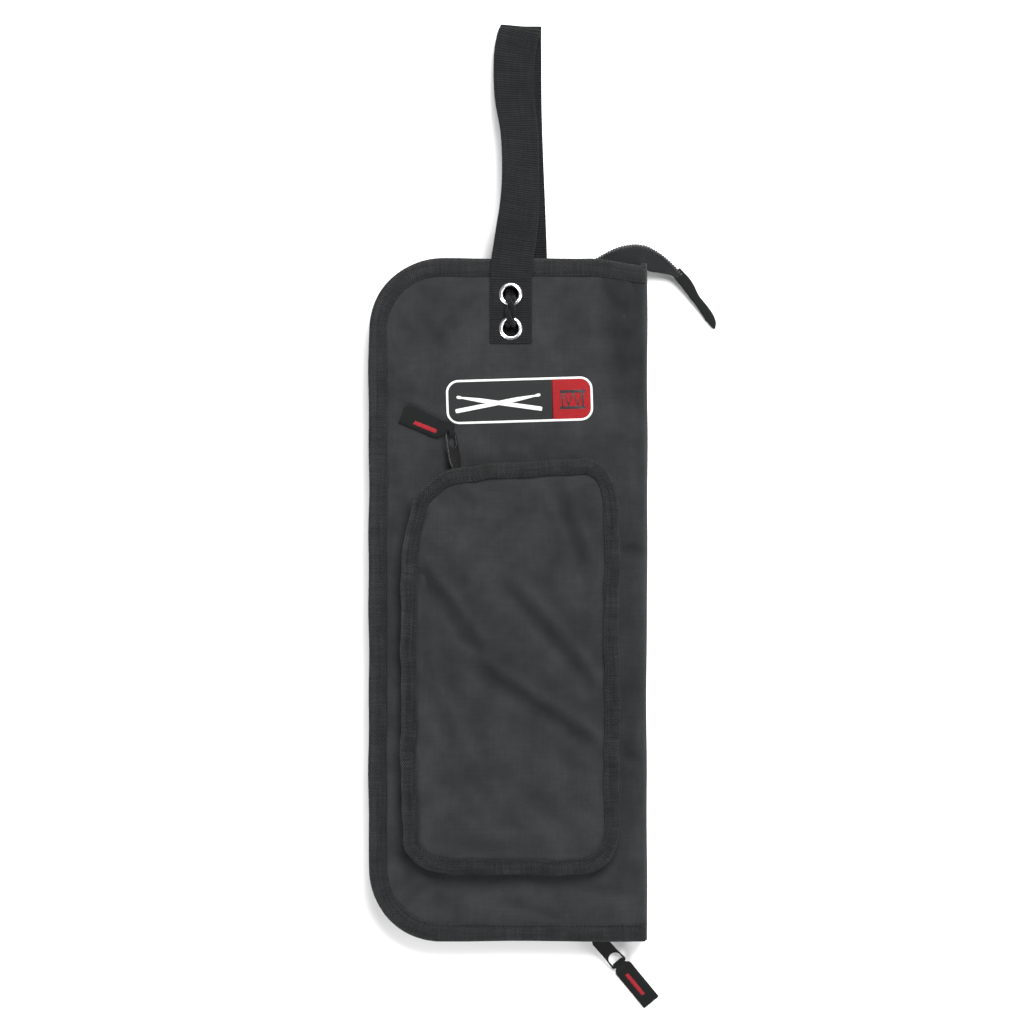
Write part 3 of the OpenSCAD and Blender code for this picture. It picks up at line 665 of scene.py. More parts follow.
# Where points of the pocket's plain outline really lie, seen from above at the height of the front cover.
# The pocket is slack at its upper left corner.
SLACK = [(-77, 18, -77.2, 17.9), (-77, 45, -75, 42), (-77, 62, -71.8, 58.2), (-75.1, 85, -65.1, 73.9),
         (-69.7, 93.2, -56.1, 84.2), (-61.5, 98.6, -44.9, 91.8), (-45, 100.5, -33.7, 95.3),
         (-22, 100.5, -21, 97.1), (9, 100.5, 8.8, 98.5), (31, 100.5, 31.2, 100.7), (54, 100.5, 53.6, 101.6),
         (73.7, 93.2, 71.5, 92.5), (81, 70, 79.6, 67.1), (81, 18, 80.8, 17.9), (81, -27, 78.9, -26.9),
         (81, -63, 80.8, -62.7), (81, -110, 80, -110), (81, -152, 80.4, -152.3), (73.7, -191.2, 71.5, -187.5),
         (56, -198.5, 56, -196.6), (31, -198.5, 31.2, -198), (-14, -198.5, -13.6, -197.2),
         (-50, -198.5, -49, -196.5), (-69.7, -191.2, -67, -187), (-77, -165, -75.5, -164),
         (-77, -134, -77.2, -134.4), (-77, -60, -76.8, -60), (-77, -20, -77.2, -20)]


def slack_table():
    """The outline's shifts, spread evenly along it and smoothed."""
    closer = (EYE_HEIGHT - P_TOP) / (EYE_HEIGHT - FACE)
    line = plain_pocket_path(0, 4.0)
    s = loop_lengths(line)
    known = np.array(SLACK)
    at = np.array([s[np.argmin(np.hypot(line[:, 0] - p[0], line[:, 1] - p[1]))] for p in known])
    order = np.argsort(at)
    view = np.array([VIEW_X, VIEW_Y])
    shift = view + (known[:, 2:] - view) * closer - known[:, :2]
    out = np.stack([np.interp(s[:-1], at[order], shift[order, i], period=s[-1]) for i in (0, 1)], 1)
    for _ in range(10):
        out = 0.5 * out + 0.25 * (np.roll(out, 1, 0) + np.roll(out, -1, 0))
    return line, out


SLACK_LINE, SLACK_SHIFT = slack_table()


def slump(x, y):
    """Moves points of the plain pocket by the shifts of the outline near them."""
    w = 1 / ((x[..., None] - SLACK_LINE[:, 0]) ** 2 + (y[..., None] - SLACK_LINE[:, 1]) ** 2 + 25) ** 2
    w = w / w.sum(-1, keepdims=True)
    return x + w @ SLACK_SHIFT[:, 0], y + w @ SLACK_SHIFT[:, 1]


# ---- Covers -----------------------------------------------------------------


def face_height(x, y):
    """Outer face of the front cover's padding."""
    depth = case_depth(x, y)
    z = FACE - 1.5 + 2.1 * (1 - np.exp(-np.maximum(depth - LIP, 0) / 7))
    z = z + 0.35 * ripple(x, y, 60, 3) * smooth((depth - LIP) / 15)
    z = z + puckers(x, HALF - np.abs(y) - LIP, 0.32, 9, 5) + puckers(y, x - LEFT - LIP, 0.22, 7, 7)
    return z - roll_over(x)


def creased(x, y, z, creases, fade):
    for a, b, w, d in creases:
        z = z + fade * crease(x, y, a, b, w, d)
    return z


def roll_over(x):
    """How far a cover's outer face rounds off towards the spine."""
    t = np.clip((x - RIGHT + 7.0) / 6.2, 0, 1)
    return 4.2 * (1 - np.sqrt(np.maximum(1 - t * t, 0)))


def corner_drop(x, y):
    """How far the slack end of the front binding sags from the spine's corner."""
    return 5.0 * smooth((x - 58) / 42) * smooth((y - 190) / 50)


# Each fold runs between two points, and has a width and a height.
FRONT_CREASES = [
    ((-39, 168), (-85, 227), 6.0, 2.8), ((-52, 176), (-14, 226), 6, -1.9), ((-92, 150), (-50, 122), 4, -2.6),
    ((-88, 112), (-70, 40), 5, -2.3), ((54, 234), (98, 188), 4.5, -2.8), ((62, 240), (78, 206), 3.6, -2.3),
    ((78, 206), (99, 150), 5, -2.2), ((80, 240), (92, 214), 3.2, 1.8), ((24, 184), (60, 168), 7, -1.4),
    ((76, 36), (100, 34), 4, -1.8), ((78, -112), (100, -118), 4, -1.9), ((88, 150), (94, 40), 4.5, -1.4),
    ((-92, 30), (-86, -110), 3.6, -1.4), ((-82, -226), (-48, -200), 4.5, -2.3),
    ((-16, -216), (44, -232), 4.5, -1.9),
    ((40, -206), (96, -216), 5, -1.8), ((-30, 118), (30, 108), 6, -1.3), ((-92, 200), (-86, 120), 4, -1.4),
    ((64, 266), (72, 150), 11.0, 1.9), ((84, 256), (88, 176), 2.6, 1.3), ((92, 250), (94, 190), 2.2, 1.2)]


def press(x, y, z, low, x0, x1, y0, y1, soft):
    """Presses the padding down under something sewn on it."""
    inside = smooth((x - x0) / soft) * smooth((x1 - x) / soft)
    inside = inside * smooth((y - y0) / soft) * smooth((y1 - y) / soft)
    return z + inside * (np.minimum(z, low) - z)


# What lies on the front cover: how high the cloth may stand there, and from where to where in x and in y
PRESSED = [(FACE - 0.25, TAB_X - 18, TAB_X + 18, TAB_Y0 - 3, TOP, 3),  # the handle
           (FACE - 0.05, -47.5, 64, 124, 162, 4),                      # the badge
           (FACE - 0.1, -84, -24, 106, 160, 5)]                        # the pocket puller's tag


def front_outer(x, y):
    """Outer face of the front cover: slack cloth with folds, pressed flat under what is sewn on it."""
    outer = face_height(x, y)
    depth = case_depth(x, y)
    fixed = np.maximum((depth < LIP + 2.5) | (x > RIGHT - 9), 0.0)
    lean_x, lean_y = ripple(x, y, 150, 11), ripple(x, y, 150, 12)
    rest = np.stack([x + 0.012 * (x - 10) + 1.6 * lean_x, y + 0.010 * (y + 20) + 1.6 * lean_y, 0 * x], -1)
    moved = settle(x, y, outer, fixed, rest, bend=50.0, frames=26, floor=FACE - 1.2)
    outer = outer + 1.1 * np.clip(moved[..., 2] - outer, -1.2, 1.4)
    outer = creased(x, y, outer, FRONT_CREASES, smooth((depth - LIP + 1) / 4) * smooth((RIGHT - 3 - x) / 5))
    for flattened in PRESSED:
        outer = press(x, y, outer, *flattened)
    return outer


def back_outer(x, y):
    """Outer face of the back cover, which lies flat and gives way to the handle's sewn end."""
    outer = 0.25 + 0.35 * np.exp(-np.maximum(case_depth(x, y) - LIP, 0) / 6)
    outer = outer + 0.12 * (1 + ripple(x, y, 40, 9)) + roll_over(x)
    wide = smooth((x - BACK_TAB_X + 18) / 3) * smooth((BACK_TAB_X + 18 - x) / 3)
    wide = wide * smooth((y - TAB_Y0 + 3) / 3)
    return outer + wide * (np.maximum(outer, 1.5) - outer)


def cover_pad(front):
    x, y = case_lattice(LIP - 2.5, RIGHT - 0.8, 2.6)
    if front:
        outer = front_outer(x, y)
        return Shape().slab(x, y - corner_drop(x, y), outer, np.minimum(FACE - PAD, outer - 0.9))
    outer = back_outer(x, y)
    return Shape().slab(x, y, outer, np.maximum(PAD, outer + 0.9))


def cover_lining(front):
    x, y = case_lattice(LIP + 1.2, RIGHT - 2.4, 3.4)
    depth = case_depth(x, y)
    bumps = 0.16 * ripple(x, y, 22, 21 + front) * smooth((depth - LIP) / 8)
    z_out, z_in = 3.4 + 0 * x, 4.05 + bumps
    if front:
        z_out, z_in = FACE - z_out, FACE - z_in
    return Shape().slab(x, y, z_in, z_out)


def lip_section(count, s, puff, seed):
    """Cross-section of the folded binding, with a shallow pucker at each stitch."""
    base = np.array([(13.0, 1.2), (12.95, 0.6), (12.6, 0.2), (11.9, 0.08), (11.2, 0.06), (10.4, 0.02),
                     (8.5, -0.1), (6, -0.12), (3.4, 0), (1.7, 0.3), (0.6, 1.0), (0.12, 1.8), (0.1, 2.6),
                     (0.5, 3.4), (1.6, 4.05), (3.4, 4.3), (6, 4.4), (9, 4.4), (11.2, 4.3), (12.5, 4.2),
                     (12.95, 3.9), (13.0, 3.3)])
    sec = np.repeat(base[None], count, 0)
    outer = np.exp(-((base[:, 0] - 7) / 4.5) ** 2) * (base[:, 1] < 1.5)
    seam = np.exp(-((base[:, 0] - 11.2) / 0.8) ** 2) * (base[:, 1] < 1.5)
    wave = ripple(s, 0 * s, 26, seed)
    sec[:, :, 1] -= outer * (puff * (1 + 0.5 * wave))[:, None]
    sec[:, :, 1] += seam * ((puff > 0) * 0.16 * (1 + np.cos(2 * np.pi * s / STITCH)))[:, None]
    sec[:, :, 0] += (0.4 * ripple(s, 0 * s, 45, seed + 1))[:, None] * (base[:, 0] < 6)
    sec[:, :, 0] += (0.45 * ripple(s, 0 * s, 24, seed + 2))[:, None] * (base[:, 0] > 10) * (base[:, 1] < 1.5)
    end = np.minimum(s, s[-1] - s)
    shrink = 1 - 0.55 * (1 - smooth(end / 3.5)) ** 2
    sec[:, :, 1] = 2.2 + (sec[:, :, 1] - 2.2) * shrink[:, None]
    return sec


def painted_spine_shade(x, y):
    """Painted shade on the front cover's cloth along the spine, and most of all at its slack corner."""
    return 0.85 * smooth((x - 66) / 18) * smooth((y - 120) / 60) + 0.35 * smooth((x - 90) / 8)


def dropped(path, front):
    """The outline of one cover, with the front one's slack corner."""
    if not front:
        return path
    return np.column_stack([path[:, 0], path[:, 1] - corner_drop(path[:, 0], path[:, 1])])


def outer_plane(front):
    """Height of a cover's outer face, and the direction from it into the case."""
    return (FACE, -Z) if front else (0, Z)


def binding(front):
    path = case_path(0, 1.1, LIP_END + 0.6)
    s = lengths(path)
    sec = lip_section(len(path), s, np.full(len(s), 0.55 if front else 0.0), 40 + front)
    if not front:
        sec[:, :, 1] = np.maximum(sec[:, :, 1], 0.06)
    z, up = outer_plane(front)
    return Shape().sweep(lift(dropped(path, front), z), inward(path), up, sec)


def stitches(shape, path, normal, pitch=STITCH, half=1.05, thick=0.28):
    """A run of sewn stitches along a 3-D path."""
    path = resample(path, pitch)
    mid = (path[1:] + path[:-1]) / 2
    axis = unit(path[1:] - path[:-1])
    normal = np.broadcast_to(normal, mid.shape)
    side = unit(np.cross(axis, normal))
    shape.ball_tube(mid, axis, side, unit(np.cross(side, axis)), half, thick, thick * 0.75)


def edge_stitches(front):
    """The seam along the binding, as it shows outside and inside."""
    shape = Shape()
    path = dropped(case_path(11.2, 1.0, LIP_END - 1), front)
    z, up = outer_plane(front)
    for depth, sign in ((-0.02, -1), (4.35, 1)):
        stitches(shape, lift(path, z + up[2] * depth), sign * up)
    return shape


for front in (False, True):
    side = "front" if front else "back"
    body = side + "_cover"
    pad = cover_pad(front).make(side + "_cover_pad")
    lining = cover_lining(front).make(side + "_cover_lining")
    if front:
        cut_eyelet_holes(pad, 20, 50)
        cut_eyelet_holes(lining, 20, 50)
        # Painted shade along the front cover's folds and its spine side
        paint_fold_shade(pad, FRONT_CREASES, painted_spine_shade)
    place(pad, body, "shell_fabric", M_SHELL, side + "_shell", side + "_foam")
    place(lining, body, "lining_fabric", M_LINING, side + "_lining")
    place(binding(front).make(side + "_edge_binding"), body, "binding_fabric", M_BINDING, side + "_binding")
    place(edge_stitches(front).make(side + "_edge_stitching"), body, "binding_fabric", M_THREAD)

# ---- Zip walls and teeth ----------------------------------------------------


def zip_wall(front):
    path = case_path(WALL_IN, 3.0, RIGHT - 3.2)
    s = lengths(path)
    rows = np.array([2.6, 5, 8, 11, 13.2, 14.0])
    bulge = np.array([0, 0.5, 0.8, 0.6, 0.2, 0.0])
    out = -bulge * (1 + 0.5 * ripple(s, 0 * s, 60, 60 + front))[:, None]
    outside, inside = (np.stack([out + d, rows + 0 * out], -1) for d in (-0.4, 0.4))
    z, up = outer_plane(front)
    return Shape().sweep(lift(path, z), inward(path), up, np.concatenate([outside, inside[:, ::-1]], 1))


def before_tail(path):
    return ~((path[:, 0] > TAIL_START) & (path[:, 1] > 0))


def zip_teeth(front):
    """One row of coils, in step with the other row, and the two cords that they are sewn down with."""
    half_pitch = resample(case_path(WALL_IN, 1.0, TEETH_END), TOOTH / 2)
    t, n = tangents(half_pitch), inward(half_pitch)
    pick = slice(1 if front else 0, None, 2)
    pts, t, n = half_pitch[pick], t[pick], n[pick]
    keep = before_tail(pts)
    pts, t, n = pts[keep], t[keep], n[keep]
    shape = Shape()
    sign = 1 if front else -1
    t3 = np.column_stack([t, 0 * t[:, 0]])
    run = (pts[:, 1] < 0) & (pts[:, 0] > box_mm("main_slider")[0][0] - SLIDER_RUN)
    # The slider's post needs a clear line where it runs; elsewhere the teeth interlock
    for pick, middle, half in ((run, 1.7, 1.22), (~run, 1.25, 1.7)):
        centres = lift(pts[pick], MID + sign * middle)
        shape.ball_tube(centres, np.broadcast_to(Z, centres.shape), t3[pick], n[pick], half, 0.72, 1.2, 8)
    cord = case_path(WALL_IN, 3.0, TEETH_END)
    cord = cord[before_tail(cord)]
    for n_off in (-0.75, 0.75):
        base = lift(cord, MID + sign * 2.6) + inward(cord) * n_off
        shape.sweep(base, inward(cord), Z, circle(8) * (0.54, 0.324))
    return shape


for front in (False, True):
    side = "front" if front else "back"
    body = side + "_cover"
    place(zip_wall(front).make(side + "_zip_wall"), body, "zip_tape", M_TAPE, side + "_zip_tape")
    place(zip_teeth(front).make(side + "_zip_coil"), body, "zip_teeth", M_TEETH, side + "_zip_teeth")

# ---- Spine ------------------------------------------------------------------


def spine():
    half = [(-3.4, 14.2), (-1.8, 13.6), (-0.8, 12.6), (-0.2, 11), (0.1, 8), (0.3, 4)]
    lower = [(x, -z) for x, z in half[::-1]]
    profile = np.array(half + [(0.35, 0)] + lower) + (0, MID)
    profile[:, 0] += RIGHT
    profile = curve_through(np.column_stack([profile, 0 * profile[:, 0]]), 1.6)[:, :2]
    t = unit(np.gradient(profile, axis=0))
    inner = profile + 1.2 * np.stack([t[:, 1], -t[:, 0]], 1)
    along = np.linspace(0, 1, 190)
    layers = []
    for layer in (profile, inner):
        end = HALF - 3.4 - 6.5 * np.exp(-((layer[:, 1] - MID) / 7) ** 4)
        y = -(HALF - 0.5) + along[:, None] * (end + HALF - 0.5)
        dent = 0.5 * ripple(y, layer[:, 1], 55, 71) * np.sin(np.pi * np.clip(layer[:, 1] / FACE, 0, 1))
        layers.append(np.stack([layer[:, 0] + 0 * y + dent, y, layer[:, 1] + 0 * y], -1))
    return Shape().sheet(*layers, flat=(1, 2))


spine_fold = ("back_cover", "front_cover", (RIGHT - 1.5, 0, 2), (RIGHT - 1.5, 0, FACE - 2))
place(spine().make("spine_fabric"), spine_fold, "shell_fabric", M_SHELL, "spine_panel")

# ---- Handle -----------------------------------------------------------------


def strap(path, x_axis):
    """Flat ribbed webbing along a path of (x, y, z, roll in degrees)."""
    fine = curve_through(path, 0.42)
    p, roll = fine[:, :3], np.radians(fine[:, 3])
    t = tangents(p)
    across = unit(x_axis - (t @ x_axis)[:, None] * t)
    up = np.cross(across, t)
    a = across * np.cos(roll)[:, None] + up * np.sin(roll)[:, None]
    b = up * np.cos(roll)[:, None] - across * np.sin(roll)[:, None]
    s = lengths(p)
    rib = 0.11 * np.cos(2 * np.pi * s / RIB)
    half_xs = np.array([2.5, 7, 11.5, 13.6, 14.7, WEBBING_HALF])
    xs = np.concatenate([-half_xs[::-1], half_xs])
    body = np.where(np.abs(xs) > 14.8, 0.0, np.where(np.abs(xs) > 14.2, 0.6, 0.72))
    ribbed = (np.abs(xs) < 14) * 1.0
    top = body[None] + rib[:, None] * ribbed
    cup = 0.004 * (xs ** 2)[None] * smooth((s[:, None] - 66) / 30) * smooth((s[-1] - s[:, None]) / 30)
    sec = np.concatenate([np.stack([0 * top + xs, top + cup], -1),
                          np.stack([0 * top + xs, -top + cup], -1)[:, 1:-1][:, ::-1]], 1)
    return Shape().sweep(p, a, b, sec)


# Points of (x, y, z, roll). The two runs meet at the top of the loop.
LOOP_TOP = (9.3, 415.4, 4.9, 0)
FRONT_STRAP = [(TAB_X, TAB_Y0, 34.65, 0), (TAB_X, 200, 34.65, 0), (TAB_X, 226, 34.7, 0),
               (TAB_X + 0.2, 233, 35.35, 0), (TAB_X + 1.0, 243.6, 35.5, 0), (5.0, 256.5, 34.0, -4),
               (8.0, 282.8, 29.5, -20), (8.7, 309.2, 24.6, -27), (7.9, 336.5, 20.0, -23),
               (4.4, 362.9, 16.0, -16), (4.3, 390.3, 12.4, -9), (6.3, 404, 10.6, -4), (8.5, 411.8, 8.2, 0),
               LOOP_TOP]
BACK_STRAP = [(BACK_TAB_X, TAB_Y0, 0.95, 0), (BACK_TAB_X, 215, 0.95, 0), (BACK_TAB_X - 0.4, 240, 0.95, 0),
              (13.2, 255, 0.95, 0), (12.1, 285, 0.95, 0), (11.0, 312, 0.95, 0), (10.0, 339, 0.95, 0),
              (9.4, 366, 0.95, 0), (9.3, 395, 0.95, 0), (9.2, 406.5, 1.15, 0), (9.3, 412.5, 2.3, 0), LOOP_TOP]
NEAR, FAR = (0, TOP, 0), (0, 2 * LOOP_TOP[1] - TOP, 0)
front_strap = strap(FRONT_STRAP, X).make("handle_front_strap")
cut_eyelet_holes(front_strap, 33, 37)
place(front_strap, ("back_cover", "front_cover", FAR, NEAR), "webbing", M_WEBBING, "handle_front_tab",
      "handle_loop")
place(strap(BACK_STRAP, X).make("handle_back_strap"), ("back_cover", "front_cover", NEAR, FAR), "webbing",
      M_WEBBING, "handle_back_tab")


def box_stitch(shape, cx, y0, y1, z, normal):
    """A rectangle of stitches across the webbing."""
    x0, x1 = cx - 12.6, cx + 12.6
    sides = [(x, y0, x, y1) for x in (x0, x1)] + [(x0, y, x1, y) for y in (y0, y1)]
    for xa, ya, xb, yb in sides:
        stitches(shape, np.array([(xa, ya, z), (xb, yb, z)]), normal, 2.9, 1.0, 0.26)


seams = Shape()
box_stitch(seams, TAB_X, 186.2, 229.0, FACE + 1.45, Z)
box_stitch(seams, TAB_X + 0.5, 234.5, 242.0, FACE + 2.15, Z)
place(seams.make("handle_front_stitching"), "front_cover", "webbing", M_THREAD)
seams = Shape()
box_stitch(seams, BACK_TAB_X, 186.2, 229.0, 0.2, -Z)
place(seams.make("handle_back_stitching"), "back_cover", "webbing", M_THREAD)

# ---- Eyelets and lacing cord ------------------------------------------------


def lathe(shape, x, y, profile):
    """A profile of (radius, height) points turned about an upright axis."""
    ring = np.column_stack([circle(72), np.zeros(72)])
    return shape.sweep(np.array([x, y, 0]) + 0 * ring, ring, Z, profile, closed=True)


EYELET_TOP = FACE + 1.55
RIM = [(5.5, -6.0), (5.5, 0.3), (5.62, 0.72), (5.95, 1.05), (6.5, 1.2), (7.3, 1.12), (8.0, 0.85),
       (8.45, 0.45), (8.65, 0.02), (8.5, -0.12), (6.15, -0.12), (6.05, -6.0)]
WASHER = [(6.05, 0.75), (6.1, 0.1), (6.6, -0.12), (7.6, -0.1), (8.4, 0.15), (8.65, 0.55), (8.5, 0.8)]
rims, washers = Shape(), Shape()
for y in EYELETS:
    lathe(rims, TAB_X, y, np.array(RIM) + (0, EYELET_TOP))
    lathe(washers, TAB_X, y, np.array(WASHER) + (0, FACE - 4.75))
place(rims.make("eyelet_rims"), "front_cover", "eyelet_metal", M_CHROME, "front_eyelets")
place(washers.make("eyelet_washers"), "front_cover", "eyelet_metal", M_CHROME, "front_eyelet_washers")

# The cord's route in (y, z), from the inside of the cover out through one eyelet and in through the other
CORD_IN = [(193.5, 26.2), (195.8, 26.8), (197.2, 28.6), (197.3, 31.5), (197.3, 34.5), (197.7, 36.9),
           (198.9, 38.9), (201, 40.1), (203.8, 40.8), (206.7, 41.0), (209.6, 40.8), (212.4, 40.1),
           (214.5, 38.9), (215.8, 36.9), (216.2, 34.5), (216.2, 31.5), (216.3, 28.6), (217.7, 26.8),
           (220, 26.2)]


def round_cord(shape, points, radius):
    """Braided cord, whose surface bulges a little at every crossing of its yarns."""
    p = curve_through(points, 0.5)
    t = tangents(p)
    across = unit(X - (t @ X)[:, None] * t)
    a = np.linspace(0, 2 * np.pi, 18, endpoint=False)
    lay = 2 * np.pi * lengths(p)[:, None] / 5
    strand = 1 + 0.07 * np.sin(4 * a + lay) * np.sin(4 * a - lay)
    return shape.sweep(p, across, np.cross(t, across), circle(18) * radius * strand[..., None])


def twisted(shape, turns, phase, radius, spread):
    """One of the strands that wind round each other between the eyelets."""
    line = curve_through(np.array([(TAB_X, y, z) for y, z in CORD_IN]), 1.0)
    t = tangents(line)
    up = np.cross(X, t)
    f = np.linspace(0, 1, len(line))
    free = smooth((f - 0.28) / 0.1) * smooth((0.72 - f) / 0.1)
    a = phase + turns * 2 * np.pi * np.clip((f - 0.26) / 0.48, 0, 1)
    off = spread * np.cos(a)[:, None] * X + 0.85 * spread * np.sin(a)[:, None] * up * free[:, None]
    round_cord(shape, line + off, radius)


cords = Shape()
for phase in (0.25, 0.25 + np.pi):
    twisted(cords, 1.0, phase, CORD_R, CORD_R + 0.1)
place(cords.make("lacing_cord_strands"), "front_cover", "cord_braid", M_CORD, "lacing_cord")


def knot(shape, cx, cy, cz):
    """An overhand stopper knot: a cord wound as a trefoil."""
    t = np.linspace(0, 2 * np.pi, 90, endpoint=False)
    x = np.sin(t) + 2 * np.sin(2 * t)
    y = np.cos(t) - 2 * np.cos(2 * t)
    z = -np.sin(3 * t)
    p = np.stack([cx + 1.5 * x, cy + 1.5 * y, cz + 1.25 * z], 1)
    tan = tangents(p, True)
    side = unit(np.cross(tan, Z))
    shape.sweep(p, side, np.cross(side, tan), 1.4 * circle(12), closed=True)


knots = Shape()
for y, outward in ((CORD_IN[0][0], -2.2), (CORD_IN[-1][0], 2.2)):
    knot(knots, TAB_X, y + outward, 26.0)
place(knots.make("lacing_cord_stopper_knots"), "front_cover", "cord_braid", M_CORD, "lacing_cord_knots")

# ---- Badge ------------------------------------------------------------------

BADGE_AT, BADGE_TURN = np.array([8.3, 143.0]), math.radians(1.7)
BADGE_W, BADGE_H, BADGE_R = 103.4, 30.0, 8.2
BADGE_Z = FACE - 0.1
MOTIF_Z = FACE + 0.2
FIELDS_X = 23.4  # the line between the dark field and the red one


def badge_outline(step):
    w, h, r = BADGE_W, BADGE_H, BADGE_R
    pts = []
    for sx, sy, a0 in ((1, -1, -90), (1, 1, 0), (-1, 1, 90), (-1, -1, 180)):
        for a in np.radians(np.linspace(a0, a0 + 90, 14)):
            pts.append((sx * (w / 2 - r) + r * np.cos(a), sy * (h / 2 - r) + r * np.sin(a)))
    pts.append(pts[0])
    return resample(pts, step)[:-1]


def to_badge(points, z):
    c, s = math.cos(BADGE_TURN), math.sin(BADGE_TURN)
    p = np.asarray(points, float)
    return np.column_stack([BADGE_AT[0] + c * p[:, 0] - s * p[:, 1], BADGE_AT[1] + s * p[:, 0] + c * p[:, 1],
                            np.broadcast_to(z, len(p))])


def patch(shape, outline, z0, z1, edge=0.5):
    """A flat embroidered area with a rounded rim, for an outline without holes."""
    outline = np.asarray(outline, float)
    n = len(outline)
    after = np.roll(outline, -1, 0)
    clockwise = np.sum(outline[:, 0] * after[:, 1] - outline[:, 1] * after[:, 0]) < 0
    inner = inward(outline, True)[:, :2] * (1 if clockwise else -1)
    steps = ((0, z0), (0, z1 - 0.25), (0.4 * edge, z1 - 0.06), (edge, z1))
    pts = np.concatenate([to_badge(outline + inner * off, z) for off, z in steps])
    q, _, _ = quads(4, n, False, True)
    faces = q.tolist() + [list(range(3 * n, 4 * n)), list(range(n))[::-1]]
    return shape.add(pts, faces, pts[np.concatenate(faces)][:, :2])


def badge_border(width, z1):
    """A raised line of satin stitch round the badge."""
    path = to_badge(badge_outline(0.5), BADGE_Z)
    h = z1 - BADGE_Z
    sec = np.array([(-0.5, 0), (-0.5, 0.5), (-0.28, 0.93), (0, 1), (0.28, 0.93), (0.5, 0.5), (0.5, 0)])
    sec = np.repeat(sec[None] * (width, h), len(path), 0)
    sec[:, 1:6, 1] *= (1 + 0.08 * (np.arange(len(path)) % 2))[:, None]
    return Shape().sweep(path, inward(path, True), Z, sec, closed=True)


def badge_field(left):
    """The badge's outline, cut at the line between its two fields."""
    points = badge_outline(0.8)
    out = []
    for a, b in zip(points, np.roll(points, -1, 0)):
        ina, inb = (a[0] < FIELDS_X) == left, (b[0] < FIELDS_X) == left
        if ina:
            out.append(a)
        if ina != inb:
            out.append(a + (FIELDS_X - a[0]) / (b[0] - a[0]) * (b - a))
    return np.array(out)


def sew_on(shape, name, material, *nodes):
    place(shape.make(name), "front_cover", "badge_embroidery", material, *nodes)


sew_on(patch(Shape(), badge_field(True), BADGE_Z, FACE + 0.42), "badge_dark_field", M_FIELD, "badge")
sew_on(patch(Shape(), badge_field(False), BADGE_Z, FACE + 0.44), "badge_red_field", M_RED)
sew_on(badge_border(1.7, FACE + 0.72), "badge_white_border", M_WHITE)


def stick_outline(x0, y0, angle, length, width):
    """A plain drum stick: a butt, a long shaft, a taper and a small round tip."""
    s = np.array([0, 0.01, 0.3, 0.72, 0.9, 0.935, 0.95, 0.975, 0.995, 1.0])
    w = np.array([0.7, 1, 1, 1, 0.55, 0.42, 0.62, 0.8, 0.5, 0.05]) * width / 2
    c, n = math.cos(angle), math.sin(angle)
    top = [(x0 + c * a * length - n * b, y0 + n * a * length + c * b) for a, b in zip(s, w)]
    low = [(x0 + c * a * length + n * b, y0 + n * a * length - c * b) for a, b in zip(s, w)][::-1]
    return np.array(low + top)


def stick_motif():
    motif = Shape()
    for x, angle, z in ((-46, 9.5, FACE + 0.66), (16, 170.5, FACE + 0.76)):
        patch(motif, stick_outline(x, -6.6, math.radians(angle), 62, 3.0), MOTIF_Z, z, 0.3)
    return motif


def drum_motif():
    """A drum from the side: two hoops, the ends of its shell and its lacing."""
    drum = Shape()
    bars = ((29, 47, 4.2, 6.4), (29, 47, -7.4, -5.2), (30, 31.2, -5.4, 4.4), (44.8, 46, -5.4, 4.4))
    for x0, x1, y0, y1 in bars:
        patch(drum, [(x0, y0), (x1, y0), (x1, y1), (x0, y1)], MOTIF_Z, FACE + 0.64, 0.2)
    for k in range(4):
        x = 31.6 + 3.3 * k
        up = 1 if k % 2 else -1
        lace = [(x - 0.5, -5.2 * up), (x + 0.5, -5.2 * up), (x + 3.8, 4.2 * up), (x + 2.8, 4.2 * up)]
        patch(drum, lace, MOTIF_Z, FACE + 0.6, 0.2)
    return drum


sew_on(stick_motif(), "badge_stick_motif", M_WHITE)
sew_on(drum_motif(), "badge_drum_motif", M_DARK)

# ---- Pocket -----------------------------------------------------------------

P_CREASES = [((-86, 47), (-8, -61), 6.5, -6.0), ((-21, 28), (79, -90), 7.0, -5.8),
             ((-62, -28), (96, -132), 7.0, -5.8), ((26, 93), (59, 0), 6.5, -5.2),
             ((-72, -43), (-26, -137), 7.0, -3.2), ((40, -175), (-60, -172), 5.0, 2.8),
             ((30, 60), (-60, 72), 9.0, 2.6), ((-50, 92), (-22, 60), 5.0, -2.6), ((6, 76), (44, 40), 8, 1.2),
             ((-66, 4), (-58, -70), 5, -1.8), ((-20, -120), (60, -176), 8, -2.0),
             ((-60, -120), (-10, -170), 6, -1.8)]
FOLDS_ACROSS = np.array([0.76, 0.65])  # the slack in the pocket's face runs this way
FACE_CAP = P_TOP + 1.8                 # and its folds stand no higher than this


def pocket_depth(x, y):
    """How far a point is in from the pocket's binding."""
    return np.minimum(np.minimum(x - P_X0, P_X1 - x), np.minimum(y - P_Y0, P_Y1 - y)) - P_LIP


def pocket_face_height(x, y):
    edge = pocket_depth(x, y)
    z = P_TOP - 2.6 + 1.1 * (1 - np.exp(-np.maximum(edge, 0) / 7))
    fade = smooth(edge / 10)
    z = z + puckers(x, np.minimum(y - P_Y0, P_Y1 - y) - P_LIP, 0.3, 7, 85)
    z = z + puckers(y, np.minimum(x - P_X0, P_X1 - x) - P_LIP, 0.25, 6, 87)
    return z + 0.25 * fade * ripple(0.6 * x + 0.8 * y, 0.4 * (x - y), 30, 81)


